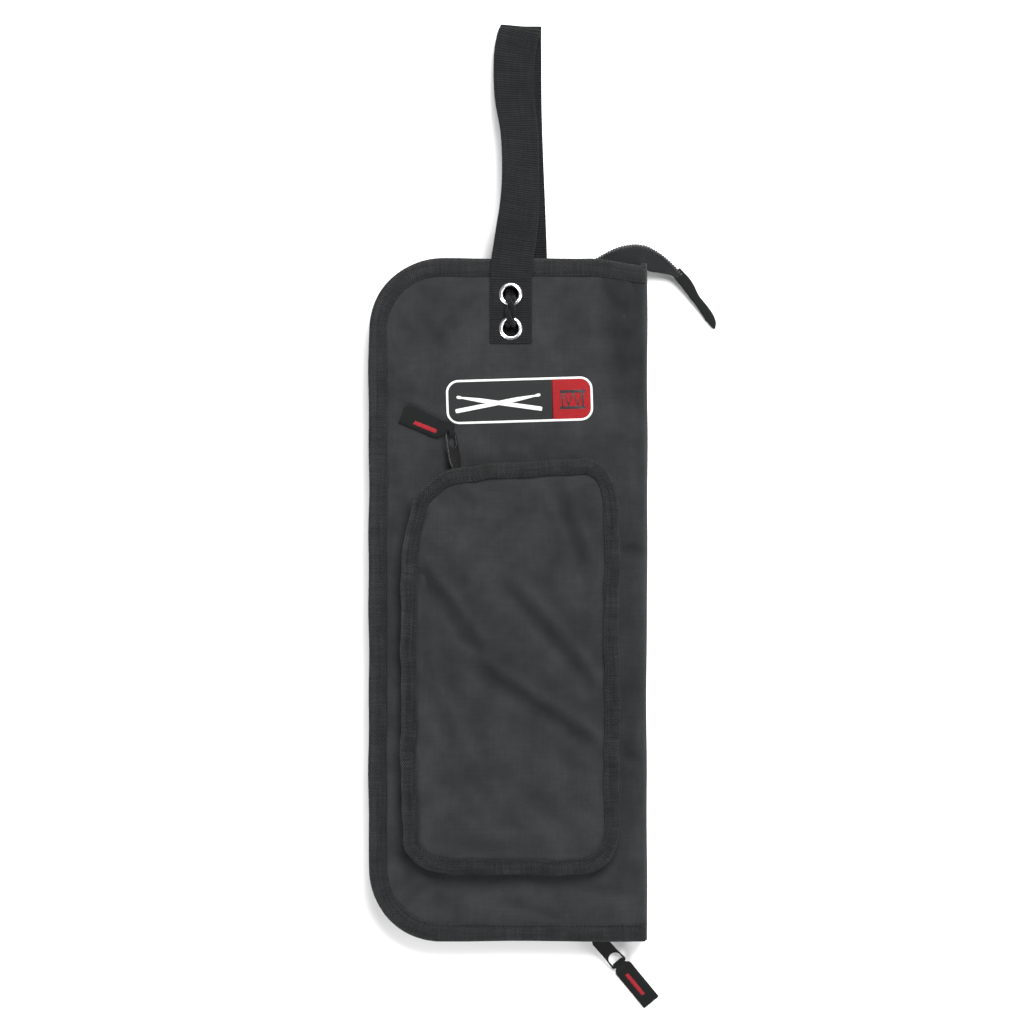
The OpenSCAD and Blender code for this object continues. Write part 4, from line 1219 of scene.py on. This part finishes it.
def pocket_lattice(inset, step):
    """Rows across the pocket plan, narrowed in its corners."""
    r = max(P_R - inset, 5)
    x0, x1, y0, y1 = P_X0 + inset, P_X1 - inset, P_Y0 + inset, P_Y1 - inset
    bend = r * np.sin(np.radians(np.linspace(0, 90, int(1.5 * r / step) + 3)))
    middle = np.linspace(y0 + r, y1 - r, int((y1 - y0 - 2 * r) / step))[1:-1]
    rows = np.concatenate([y0 + r - bend[::-1], middle, y1 - r + bend])
    over = np.maximum(np.maximum(y0 + r - rows, rows - (y1 - r)), 0)
    cut = r - np.sqrt(np.maximum(r * r - over ** 2, 0))
    u = np.linspace(0, 1, int((x1 - x0) / step))
    x = (x0 + cut)[:, None] + (x1 - x0 - 2 * cut)[:, None] * u
    return x, np.broadcast_to(rows[:, None], x.shape).copy()


def pocket_face():
    x, y = pocket_lattice(P_LIP - 2.2, 2.6)
    face = pocket_face_height(x, y)
    edge = pocket_depth(x, y)
    ax, ay = FOLDS_ACROSS
    run = (x - 2) * ax + (y + 49) * ay
    lean = ripple(x, y, 120, 15)
    rest = np.stack([x + 0.03 * run * ax + 1.2 * lean, y + 0.03 * run * ay + 1.2 * lean, 0 * x], -1)
    moved = settle(x, y, face, (edge < 0.6) * 1.0, rest, bend=40.0, frames=28)
    face = face + np.clip(0.62 * (moved[..., 2] - face), -1.9, 1.9)
    face = creased(x, y, face, P_CREASES, smooth(edge / 5))
    face = FACE_CAP - np.log1p(np.exp(2 * (FACE_CAP - face))) / 2
    x, y = slump(x, y)
    return Shape().slab(x, y, face, face - 1.2)


# The pocket's folds get painted shade too
place(paint_fold_shade(pocket_face().make("pocket_front_cloth"), P_CREASES), "front_cover", "shell_fabric", M_SHELL,
      "pocket_face")

P_SECTION = np.array([(11.0, 0.9), (10.9, 0.4), (10.4, 0.12), (9.6, 0.08), (8.9, 0.02), (7, -0.15), (5, -0.2),
                      (3, -0.05), (1.4, 0.3), (0.5, 0.9), (0.1, 1.6), (0.15, 2.3), (0.7, 2.9), (1.8, 3.3),
                      (5, 3.4), (9, 3.4), (10.6, 3.3), (11.0, 2.8)])


def rim_height(turn):
    """Height of the pocket's seam, which rises and dips as it goes round."""
    return P_TOP + 0.35 * np.sin(3 * turn + 0.6)


def pocket_binding():
    path = pocket_path(0, 1.0)
    s = lengths(path)
    n = len(path)
    turn = 2 * np.pi * s / (s[-1] + 1.0)
    sec = np.repeat(P_SECTION[None], n, 0)
    wave = 0.5 * np.sin(5 * turn + 1) + 0.35 * np.sin(11 * turn) + 0.25 * np.sin(17 * turn + 2)
    puff = np.exp(-((P_SECTION[:, 0] - 5.5) / 3.5) ** 2) * (P_SECTION[:, 1] < 1.2)
    sec[:, :, 1] -= puff * (0.5 * (1 + 0.6 * wave))[:, None]
    seam = np.exp(-((P_SECTION[:, 0] - 9.4) / 0.7) ** 2) * (P_SECTION[:, 1] < 1.2)
    sec[:, :, 1] += seam * 0.14 * (1 + np.cos(2 * np.pi * s / STITCH))[:, None]
    return Shape().sweep(lift(path, rim_height(turn)), inward(path, True), -Z, sec, closed=True)


def pocket_stitches():
    seams = Shape()
    ring = pocket_path(9.4, 1.0)
    ring = np.vstack([ring, ring[:1]])
    stitches(seams, lift(ring, 0.02 + rim_height(np.linspace(0, 2 * np.pi, len(ring)))), Z)
    return seams


place(pocket_binding().make("pocket_edge_binding"), "front_cover", "binding_fabric", M_POCKET_BINDING,
      "pocket_binding")
place(pocket_stitches().make("pocket_edge_stitching"), "front_cover", "binding_fabric", M_THREAD)


def pocket_wall():
    """The pocket's side walls, which tuck in under its bound seam, with the zip let into the top one."""
    path = plain_pocket_path(0, 2.5)
    n = len(path)
    turn = 2 * np.pi * lengths(path) / lengths(path)[-1]
    sec = np.array([(3, 2.6), (8, 3.2), (12.5, 3.9), (15.6, 5.2), (17.3, 7.4), (18.2, 10), (18.4, 13),
                    (17.8, 15.6), (16.6, 17.4), (14.5, 17.9)])
    wave = 0.6 * np.sin(4 * turn) + 0.5 * np.sin(9 * turn + 1)
    out = np.repeat(sec[None], n, 0)
    out[:, 3:9, 0] += wave[:, None] * np.array([0.3, 0.8, 1, 1, 0.8, 0.4])
    flat = smooth((path[:, 1] - P_Y1 + 14) / 4)
    straight = np.array([(3, 2.6), (9, 3.0), (14, 3.4), (17.2, 4.2), (18, 6), (18, 10), (18, 13), (18, 15.6),
                         (17.4, 17.4), (15.4, 17.9)])
    out = out + flat[:, None, None] * (straight - out)
    inner = out + np.array([0.9, 0.0])
    inner[:, :3] = out[:, :3] + np.array([0, 0.8])
    sec = np.concatenate([out, inner[:, ::-1]], 1)
    side = inward(path, True)
    pts = lift(path, P_TOP)[:, None] + side[:, None] * sec[..., :1] - Z * sec[..., 1:]
    moved = np.stack(slump(pts[..., 0], pts[..., 1]), -1) - pts[..., :2]
    pts[..., :2] += moved * (1 - smooth((sec[..., 1:] - 2.6) / 3.5) * flat[:, None, None])
    return Shape().ring(pts)


place(pocket_wall().make("pocket_side_walls"), "front_cover", "shell_fabric", M_SHELL, "pocket_gusset")


def pocket_tape():
    shape = Shape()
    (x0, _, _), (x1, _, _) = box_mm("pocket_zip_tape")
    for z0, z1 in ((POCKET_MID_Z - 6.6, POCKET_MID_Z - 2.2), (POCKET_MID_Z + 2.2, POCKET_MID_Z + 6.4)):
        line = np.stack([np.linspace(x0, x1, 30), np.full(30, POCKET_WALL_Y + 0.9), np.zeros(30)], 1)
        shape.sweep(line, Y, Z, [(-0.5, z0), (0.5, z0), (0.7, (z0 + z1) / 2), (0.5, z1), (-0.5, z1)])
    return shape


def pocket_coil():
    """The two rows of coils, with a clear line between them where the slider runs."""
    shape = Shape()
    (x0, _, _), (x1, _, _) = box_mm("pocket_zip_teeth")
    xs = np.arange(x0 + 0.6, x1 - 0.4, TOOTH / 2)
    for k in (0, 1):
        for run, middle, half in ((True, 1.62, 1.14), (False, 1.2, 1.56)):
            x = xs[k::2]
            x = x[(x < x0 + POCKET_RUN) == run]
            one = np.ones((len(x), 1))
            z = POCKET_MID_Z + (middle if k else -middle)
            centres = np.column_stack([x, POCKET_WALL_Y * one, z * one])
            shape.ball_tube(centres, one * Z, one * X, one * Y, half, 0.72, 1.15, 8)
    return shape


place(pocket_tape().make("pocket_zip_cloth"), "front_cover", "zip_tape", M_TAPE, "pocket_zip_tape")
place(pocket_coil().make("pocket_zip_coil"), "front_cover", "zip_teeth", M_TEETH, "pocket_zip_teeth")

# ---- Stick sleeves ----------------------------------------------------------


SLEEVES_W = 160.0
LINING_Z = 4.15  # the face of the lining, in from the outer face of its cover


def sleeves(front):
    """Cloth tunnels sewn down between the sticks, open at the top and closed at the bottom."""
    side = "front" if front else "back"
    body = side + "_cover"
    count, height = (2, 8.6) if front else (3, 10.1)
    pitch = SLEEVES_W / count
    outside, into = outer_plane(front)
    (x0, y0, _), (x1, y1, _) = box_mm(side + "_sleeve_sheet")
    cx = (x0 + x1) / 2
    ys = np.concatenate([np.linspace(y0, y0 + 40, 22), np.linspace(y0 + 40, y1, 46)[1:]])
    t = np.linspace(-count / 2, count / 2, 30 * count + 1)
    local = np.abs(((t + count / 2) % 1.0) - 0.5) * 2
    arch = np.clip(1 - np.clip((local - 0.04) / 0.86, 0, 1) ** 3.4, 0, 1) * (local < 0.93)
    xs = cx + t * pitch
    xg, yg = np.broadcast_to(xs, (len(ys), len(xs))), np.broadcast_to(ys[:, None], (len(ys), len(xs)))
    grow = smooth((yg - y0) / 26) * (0.84 + 0.16 * smooth((yg - y1 + 60) / 60))
    sag = 0.06 * ripple(xg, yg, 40, 90 + front) + 0.05 * ripple(xg, yg, 16, 93 + front)
    depth = LINING_Z + 0.5 + height * arch[None] * grow * (0.93 + sag * (arch[None] > 0.2))
    z, z_in = outside + into[2] * depth, outside + into[2] * (depth - 0.55)
    sheet = Shape().slab(xg, yg, z, z_in).make(side + "_stick_sleeves")
    place(sheet, body, "lining_fabric", M_SLEEVE, side + "_sleeve_sheet")
    rows = ys >= y1 - 10
    hem = Shape().slab(xg[rows], yg[rows] + 0.25, z[rows] + into[2] * 0.5, z[rows] + into[2] * 0.02)
    place(hem.make(side + "_sleeve_hem"), body, "binding_fabric", M_BINDING, side + "_sleeve_trim")
    seams = Shape()
    for k in range(count + 1):
        xk = min(max(cx + (k - count / 2) * pitch, x0 + 1.2), x1 - 1.2)
        zk = outside + into[2] * (LINING_Z + 0.55)
        stitches(seams, np.array([(xk, y0 + 2, zk), (xk, y1 - 2, zk)]), into, thick=0.3)
    place(seams.make(side + "_sleeve_stitching"), body, "lining_fabric", M_THREAD)


sleeves(False)
sleeves(True)

# ---- Zip tail ---------------------------------------------------------------

# The tail's upper edge, in (x, y), and that of the tab wrapped round its end
TAIL_EDGE = [(61, 243.5), (68.5, 248.2), (79.1, 253.3), (90.5, 255.6), (99.1, 254.7), (105.8, 251.7),
             (112.6, 247.4), (119.3, 241.6), (125.4, 235.6)]
TAB_EDGE = [(124.6, 240.0), (128.2, 236.3), (132.3, 231.9), (135.7, 226.4), (139.1, 219.8), (145.2, 212.5),
            (149.4, 206.5), (151.6, 200.6), (151.9, 196.4)]
SLOPE = math.tan(math.radians(17))


def tail_path(edge, step):
    """The edge at an even step, level inside the case and sloping down beyond the spine."""
    p = curve_through(np.column_stack([edge, np.zeros(len(edge))]), step)
    d = np.maximum(p[:, 0] - 96.5, 0)
    p[:, 2] = MID - SLOPE * d * d / (d + 5)
    return p


def flat_side(p):
    """Directions across the tail and up from its face."""
    side = unit(inward(p))
    up = np.cross(tangents(p), side)
    return side, unit(up * np.sign(up[:, 2:3]))


def tail_cloth():
    """Two tapes, sewn to the coil along one edge and apart at the other."""
    p = tail_path(TAIL_EDGE, 1.4)
    side, up = flat_side(p)
    s = lengths(p)
    width = (5.0 + 9.4 * smooth((s[-1] - s) / 22)) * (0.5 + 0.5 * smooth(s / 30))
    spread = 0.3 + 0.35 * np.abs(ripple(s, 0 * s, 24, 101))
    across = np.array([1.3, 3.0, 5.5, 8.5, 11.0, 13.0]) / 13.0
    level = np.array([0.55, 0.6, 0.65, 0.7, 0.75, 0.8])
    n = across * width[:, None]
    cloth = Shape()
    for sign in (1, -1):
        z = sign * (level + spread[:, None] * across ** 2 * 0.7)
        upper, lower = np.stack([n, z + 0.32], -1), np.stack([n, z - 0.32], -1)
        cloth.sweep(p, side, up, np.concatenate([upper, lower[:, ::-1]], 1))
    return cloth


def tail_coil():
    row = tail_path(TAIL_EDGE, 1.0)
    side, up = flat_side(row)
    t = tangents(row)
    coil = Shape()
    for k, off in ((0, 0.55), (1, -0.55)):
        pick = slice(k, None, 2)
        centres = row[pick] + side[pick] * (0.8 * k + 0.5) + up[pick] * off
        coil.ball_tube(centres, side[pick], t[pick], up[pick], 1.5, 0.74, 1.0, 8)
    return coil.sweep(row, side, up, circle(10) * (0.8, 0.7) + (0.35, 0))


def tail_tab():
    """The wrapped end of the tail, and the seams that hold it."""
    p = tail_path(TAB_EDGE, 0.9)
    side, up = flat_side(p)
    f = lengths(p) / lengths(p)[-1]
    width = np.interp(f, [0, 0.06, 0.2, 0.33, 0.5, 0.68, 0.82, 0.92, 0.97, 1],
                      [7.4, 8.2, 8.6, 8.0, 6.2, 7.0, 7.2, 5.4, 3.6, 1.4])
    shift = np.interp(f, [0, 0.9, 1], [0, 0, 1.0])
    thick = np.interp(f, [0, 0.05, 0.5, 0.85, 0.97, 1], [1.1, 1.35, 1.2, 1.35, 1.1, 0.4])
    rounded = np.sign(circle(20)) * np.abs(circle(20)) ** (0.6, 0.7)
    sec = np.stack([(shift + width / 2)[:, None] + (width / 2)[:, None] * rounded[:, 0],
                    thick[:, None] * rounded[:, 1]], -1)
    seams = Shape()
    keep = (f > 0.06) & (f < 0.9)
    for frac in (0.16, 0.84):
        line = p + side * (shift + width * frac)[:, None] + up * (thick * 0.93)[:, None]
        stitches(seams, line[keep], up[len(up) // 2], 2.4, 0.8, 0.22)
    line = p[3] + side[3] * np.linspace(0.12, 0.88, 6)[:, None] * width[3] + up[3] * 1.3
    stitches(seams, line, up[3], 1.8, 0.65, 0.22)
    return Shape().sweep(p, side, up, sec), seams


hinge = ("back_cover", "zip_tail", (98.5, 0, 0), (106.5, 0, 0))
place(tail_cloth().make("zip_tail_cloth"), hinge, "zip_tape", M_TAIL_TAPE, "zip_tail_inner_tape",
      "zip_tail_outer_tape")
place(tail_coil().make("zip_tail_coil"), hinge, "zip_teeth", M_TEETH, "zip_tail_inner_teeth",
      "zip_tail_outer_teeth")
tab, tab_seams = tail_tab()
place(tab.make("zip_tail_tab"), "zip_tail", "tail_tab", M_TAIL_TAB, "zip_tail_end_tab")
place(tab_seams.make("zip_tail_tab_stitching"), "zip_tail", "tail_tab", M_THREAD)

# ---- Pullers and tags -------------------------------------------------------


def turn_matrix(heading, pitch, roll):
    """Turns about Z, Y and X in degrees, as one matrix."""
    def rot(i, j, degrees):
        c, s = math.cos(math.radians(degrees)), math.sin(math.radians(degrees))
        m = np.eye(3)
        m[i, i] = m[j, j] = c
        m[i, j], m[j, i] = -s, s
        return m
    return rot(0, 1, heading) @ rot(2, 0, pitch) @ rot(1, 2, roll)


def arc(cx, cy, rx, ry, start, end, count):
    a = np.radians(np.linspace(start, end, count))
    return list(zip(cx + rx * np.cos(a), cy + ry * np.sin(a)))


def puller_loops(eye_r, more, hole_w):
    """Outline, eye and tag hole of a puller that is this much longer than 29.2 mm."""
    boss, half_w, length, corner = eye_r + 1.3, 5.5, 29.2 + more, 2.2
    wide = hole_w + 1.6
    outline = arc(0, 0, boss, boss, 115, 245, 24)
    outline += [(3.5, -boss - 0.15), (8, -half_w), (length - 12, -half_w)]
    for cy, start in ((corner - wide, -90), (wide - corner, 0)):
        outline += arc(length - corner, cy, corner, corner, start, start + 90, 10)
    outline += [(length - 12, half_w), (8, half_w), (3.5, boss + 0.15)]
    eye = eye_r * circle(28)
    hole = arc(22.0 + more, 0, 4.6, hole_w, 90, 270, 18)
    hole += [(26.4 + more, -hole_w), (27.0 + more, 0.6 - hole_w)]
    hole += [(27.0 + more, hole_w - 0.6), (26.4 + more, hole_w)]
    return outline, eye, hole


def puller(name, eye_at, turn, *sizes):
    """A flat die-cast puller with bevelled edges, an eye at one end and a hole for the tag at the other."""
    cu = bpy.data.curves.new(name + "_outline", "CURVE")
    cu.dimensions, cu.fill_mode = "2D", "BOTH"
    for loop in puller_loops(*sizes):
        sp = cu.splines.new("POLY")
        sp.points.add(len(loop) - 1)
        for q, (px, py) in zip(sp.points, loop):
            q.co = (px * MM, py * MM, 0, 1)
        sp.use_cyclic_u = True
    cu.extrude, cu.bevel_depth, cu.bevel_resolution, cu.offset = 0.45 * MM, 0.35 * MM, 2, -0.35 * MM
    tmp = bpy.data.objects.new(name, cu)
    bpy.context.scene.collection.objects.link(tmp)
    me = evaluated_mesh(tmp)
    bpy.data.objects.remove(tmp)
    co = np.array([v.co for v in me.vertices]) / MM
    set_attribute(me, "wear", np.clip((np.abs(co[:, 2]) - 0.4) * 1.2, 0, 1) * (np.abs(co[:, 2]) < 0.79))
    me.vertices.foreach_set("co", ((co @ turn.T + eye_at) * MM).ravel())
    me.polygons.foreach_set("use_smooth", [False] * len(me.polygons))
    me.update()
    ob = bpy.data.objects.new(name, me)
    bpy.context.scene.collection.objects.link(ob)
    return ob


def ribbon_section(half_width):
    """A flat ribbon's cross-section at each station."""
    wide = half_width[:, None] * np.array([-1, -0.97, -0.5, 0, 0.5, 0.97, 1])
    thick = TAG_THICK * np.array([0, 0.5, 0.5, 0.5, 0.5, 0.5, 0]) + 0 * wide
    low = np.stack([wide, -thick], -1)[:, 1:-1]
    return np.concatenate([np.stack([wide, thick], -1), low[:, ::-1]], 1)


def case_tag(path, turn, at):
    """The folded tag: a ribbon along (x, z, half width) points in the frame of the puller's bar."""
    fine = curve_through(np.array([(px, 0, pz, half_width) for px, pz, half_width in path]), 0.5)
    p = fine[:, :3]
    sub = Shape().sweep(p, Y, np.cross(tangents(p), Y), ribbon_section(fine[:, 3]))
    return Shape().add(np.concatenate(sub.v) @ turn.T + at, sub.f, np.concatenate(sub.uv))


eye_at, bar_at = joint_pos("main_pull_swing"), joint_pos("main_tag_fold")
run = bar_at - eye_at
heading = math.degrees(math.atan2(run[1], run[0]))
pitch = math.degrees(math.asin(-run[2] / np.linalg.norm(run)))
place(puller("case_zip_puller", eye_at, turn_matrix(heading, pitch, 0), 2.2, np.linalg.norm(run) - 28.1, 4.6),
      "main_pull", "slider_metal", M_BLACK, "main_pull")
flat_turn = turn_matrix(heading, 0, 0)
TAG_PATH = [(37.2, -1.95, 6.9), (28, -1.9, 6.9), (18, -1.85, 6.9), (9, -1.7, 6.9), (5.6, -0.9, 6.85),
            (3.8, 0.4, 6.3), (2.2, 1.5, 4.15), (0.6, 2.05, 4.1), (-1.0, 1.7, 4.1), (-2.0, 0.3, 4.1),
            (-1.7, -1.2, 4.1), (-0.4, -2.1, 4.1), (1.8, -2.45, 4.15), (3.8, -2.6, 6.3), (5.8, -2.68, 6.85),
            (9, -2.7, 6.9), (18, -2.7, 6.9), (28, -2.7, 6.9), (37.2, -2.7, 6.9)]
case_ribbon = case_tag(TAG_PATH, flat_turn, bar_at).make("case_puller_tag")
place(case_ribbon, "main_tag", "tag_fabric", M_TAG, "main_tag")


def tag_bar(name, body, start, end, width):
    """A plain bar of satin stitch along the middle of a tag, whose stitches differ a little in length."""
    pitch = 0.62
    along = unit(end - start)
    count = int(np.linalg.norm(end - start) / pitch)
    mid = start + along * (pitch * np.arange(count))[:, None]
    lean = unit(np.cross(Z, along) + 0.25 * along)
    shape = Shape()
    for centre, uneven in zip(mid, np.random.RandomState(17).uniform(0.72, 1.0, count)):
        shape.ball_tube(centre[None], lean[None], along[None], Z[None], width / 2 * uneven, 0.36, 0.34)
    place(shape.make(name), body, "tag_fabric", M_RED_DIM)


marks = np.array([(10.1, -0.9, -1.55), (29.6, -0.9, -1.55)]) @ flat_turn.T + bar_at
tag_bar("case_tag_red_bar", "main_tag", *marks, 3.6)

POCKET_TURN = turn_matrix(99.5, 5, 45)
place(puller("pocket_zip_puller", joint_pos("pocket_pull_swing"), POCKET_TURN, 2.6, 0, 3.5), "pocket_pull",
      "slider_metal", M_BLACK, "pocket_pull")


def pocket_tag():
    """The tag, which leaves the tilted bar, twists flat and lies on the cover, and its red bar's two ends."""
    bar_at = joint_pos("pocket_tag_swing")
    bar_x, bar_y, bar_z = POCKET_TURN.T
    heading = np.radians(158.0)
    out = np.array([math.cos(heading), math.sin(heading), 0])
    flat_y = np.array([-math.sin(heading), math.cos(heading), 0])
    twist = unit(-flat_y - 0.5 * bar_y)
    rows = []

    def row(point, across, half_width):
        rows.append(np.concatenate([point, across, [half_width]]))

    def flat(d, z):
        return np.array([bar_at[0], bar_at[1], 0]) + out * d + Z * z

    for d in (37.5, 30, 22, 15):
        row(flat(d, FACE + 2.25), -flat_y, 6.75)
    row(flat(9.5, FACE + 2.7), -flat_y, 6.3)
    row(bar_at + bar_x * 4.2 + bar_z * 1.2 + out, twist, 3.8)
    for a in np.radians((55, 110, 170, 230, 290)):
        row(bar_at + 2.0 * (math.cos(a) * bar_x + math.sin(a) * bar_z), -bar_y, 2.9)
    row(bar_at + bar_x * 4.0 - bar_z * 0.4 + out, twist, 3.8)
    row(flat(9.5, FACE + 1.9), -flat_y, 6.3)
    for d in (15, 22, 30, 37.5):
        row(flat(d, FACE + 1.5), -flat_y, 6.75)
    fine = curve_through(np.array(rows), 0.5)
    p, across = fine[:, :3], unit(fine[:, 3:6])
    t = tangents(p)
    across = unit(across - np.sum(across * t, 1, keepdims=True) * t)
    shape = Shape().sweep(p, across, np.cross(t, across), ribbon_section(fine[:, 6]))
    return shape, [flat(d, FACE + 2.58) + 2.6 * flat_y for d in (9.4, 27.9)]


shape, marks = pocket_tag()
place(shape.make("pocket_puller_tag"), "pocket_tag", "tag_fabric", M_TAG, "pocket_tag")
tag_bar("pocket_tag_red_bar", "pocket_tag", *marks, 3.8)

# ---- Carried-over CAD nodes -------------------------------------------------

for names, material in ((("main_slider", "pocket_slider", "main_link", "pocket_link"), M_BLACK),
                        (("zip_top_stops",), M_STEEL)):
    for name in names:
        ob = frame["nodes"][name]
        ob.data.materials.clear()
        ob.data.materials.append(material)

# ---- Stage, light and camera ------------------------------------------------

FLOOR_HALF, FLOOR_Z = 4000, -0.3
floor_corners = [(x * FLOOR_HALF, y * FLOOR_HALF, FLOOR_Z) for x, y in ((-1, -1), (1, -1), (1, 1), (-1, 1))]
floor = add_mesh("floor", floor_corners, [(0, 1, 2, 3)], smooth_shade=False)
k = Look("floor_paper", Roughness=0.9)
floor.data.materials.append(k.finish(k.mix(k.noise(400, 2), (0.86, 0.86, 0.86), (0.9, 0.9, 0.9))))

scene = bpy.context.scene
world = bpy.data.worlds.new("studio")
world.use_nodes = True
world.node_tree.nodes["Background"].inputs["Color"].default_value = (1, 1, 1, 1)
world.node_tree.nodes["Background"].inputs["Strength"].default_value = 0.34
scene.world = world


AIM = (0, 0.06, 0)


def area_light(name, at, size, power):
    light = bpy.data.lights.new(name, "AREA")
    light.shape, light.size, light.energy = "SQUARE", size, power
    ob = bpy.data.objects.new(name, light)
    ob.location = at
    ob.rotation_euler = (Vector(AIM) - Vector(at)).to_track_quat("-Z", "Y").to_euler()
    scene.collection.objects.link(ob)


# Lights, in metres and watts
area_light("key", (0.4, 0.95, 2.0), 0.9, 78)
area_light("left", (-1.25, -0.75, 1.3), 1.0, 25)
area_light("right", (1.4, -0.3, 1.3), 1.0, 12)

scene.view_settings.view_transform = "Standard"

cam = bpy.data.cameras.new("camera")
cam.sensor_width, cam.lens = 36, 100
cam.clip_start, cam.clip_end = 0.05, 20
camera = bpy.data.objects.new("camera", cam)
camera.location = (VIEW_X * MM, VIEW_Y * MM, (FACE + VIEW_SPAN * cam.lens / cam.sensor_width) * MM)
scene.collection.objects.link(camera)
scene.camera = camera
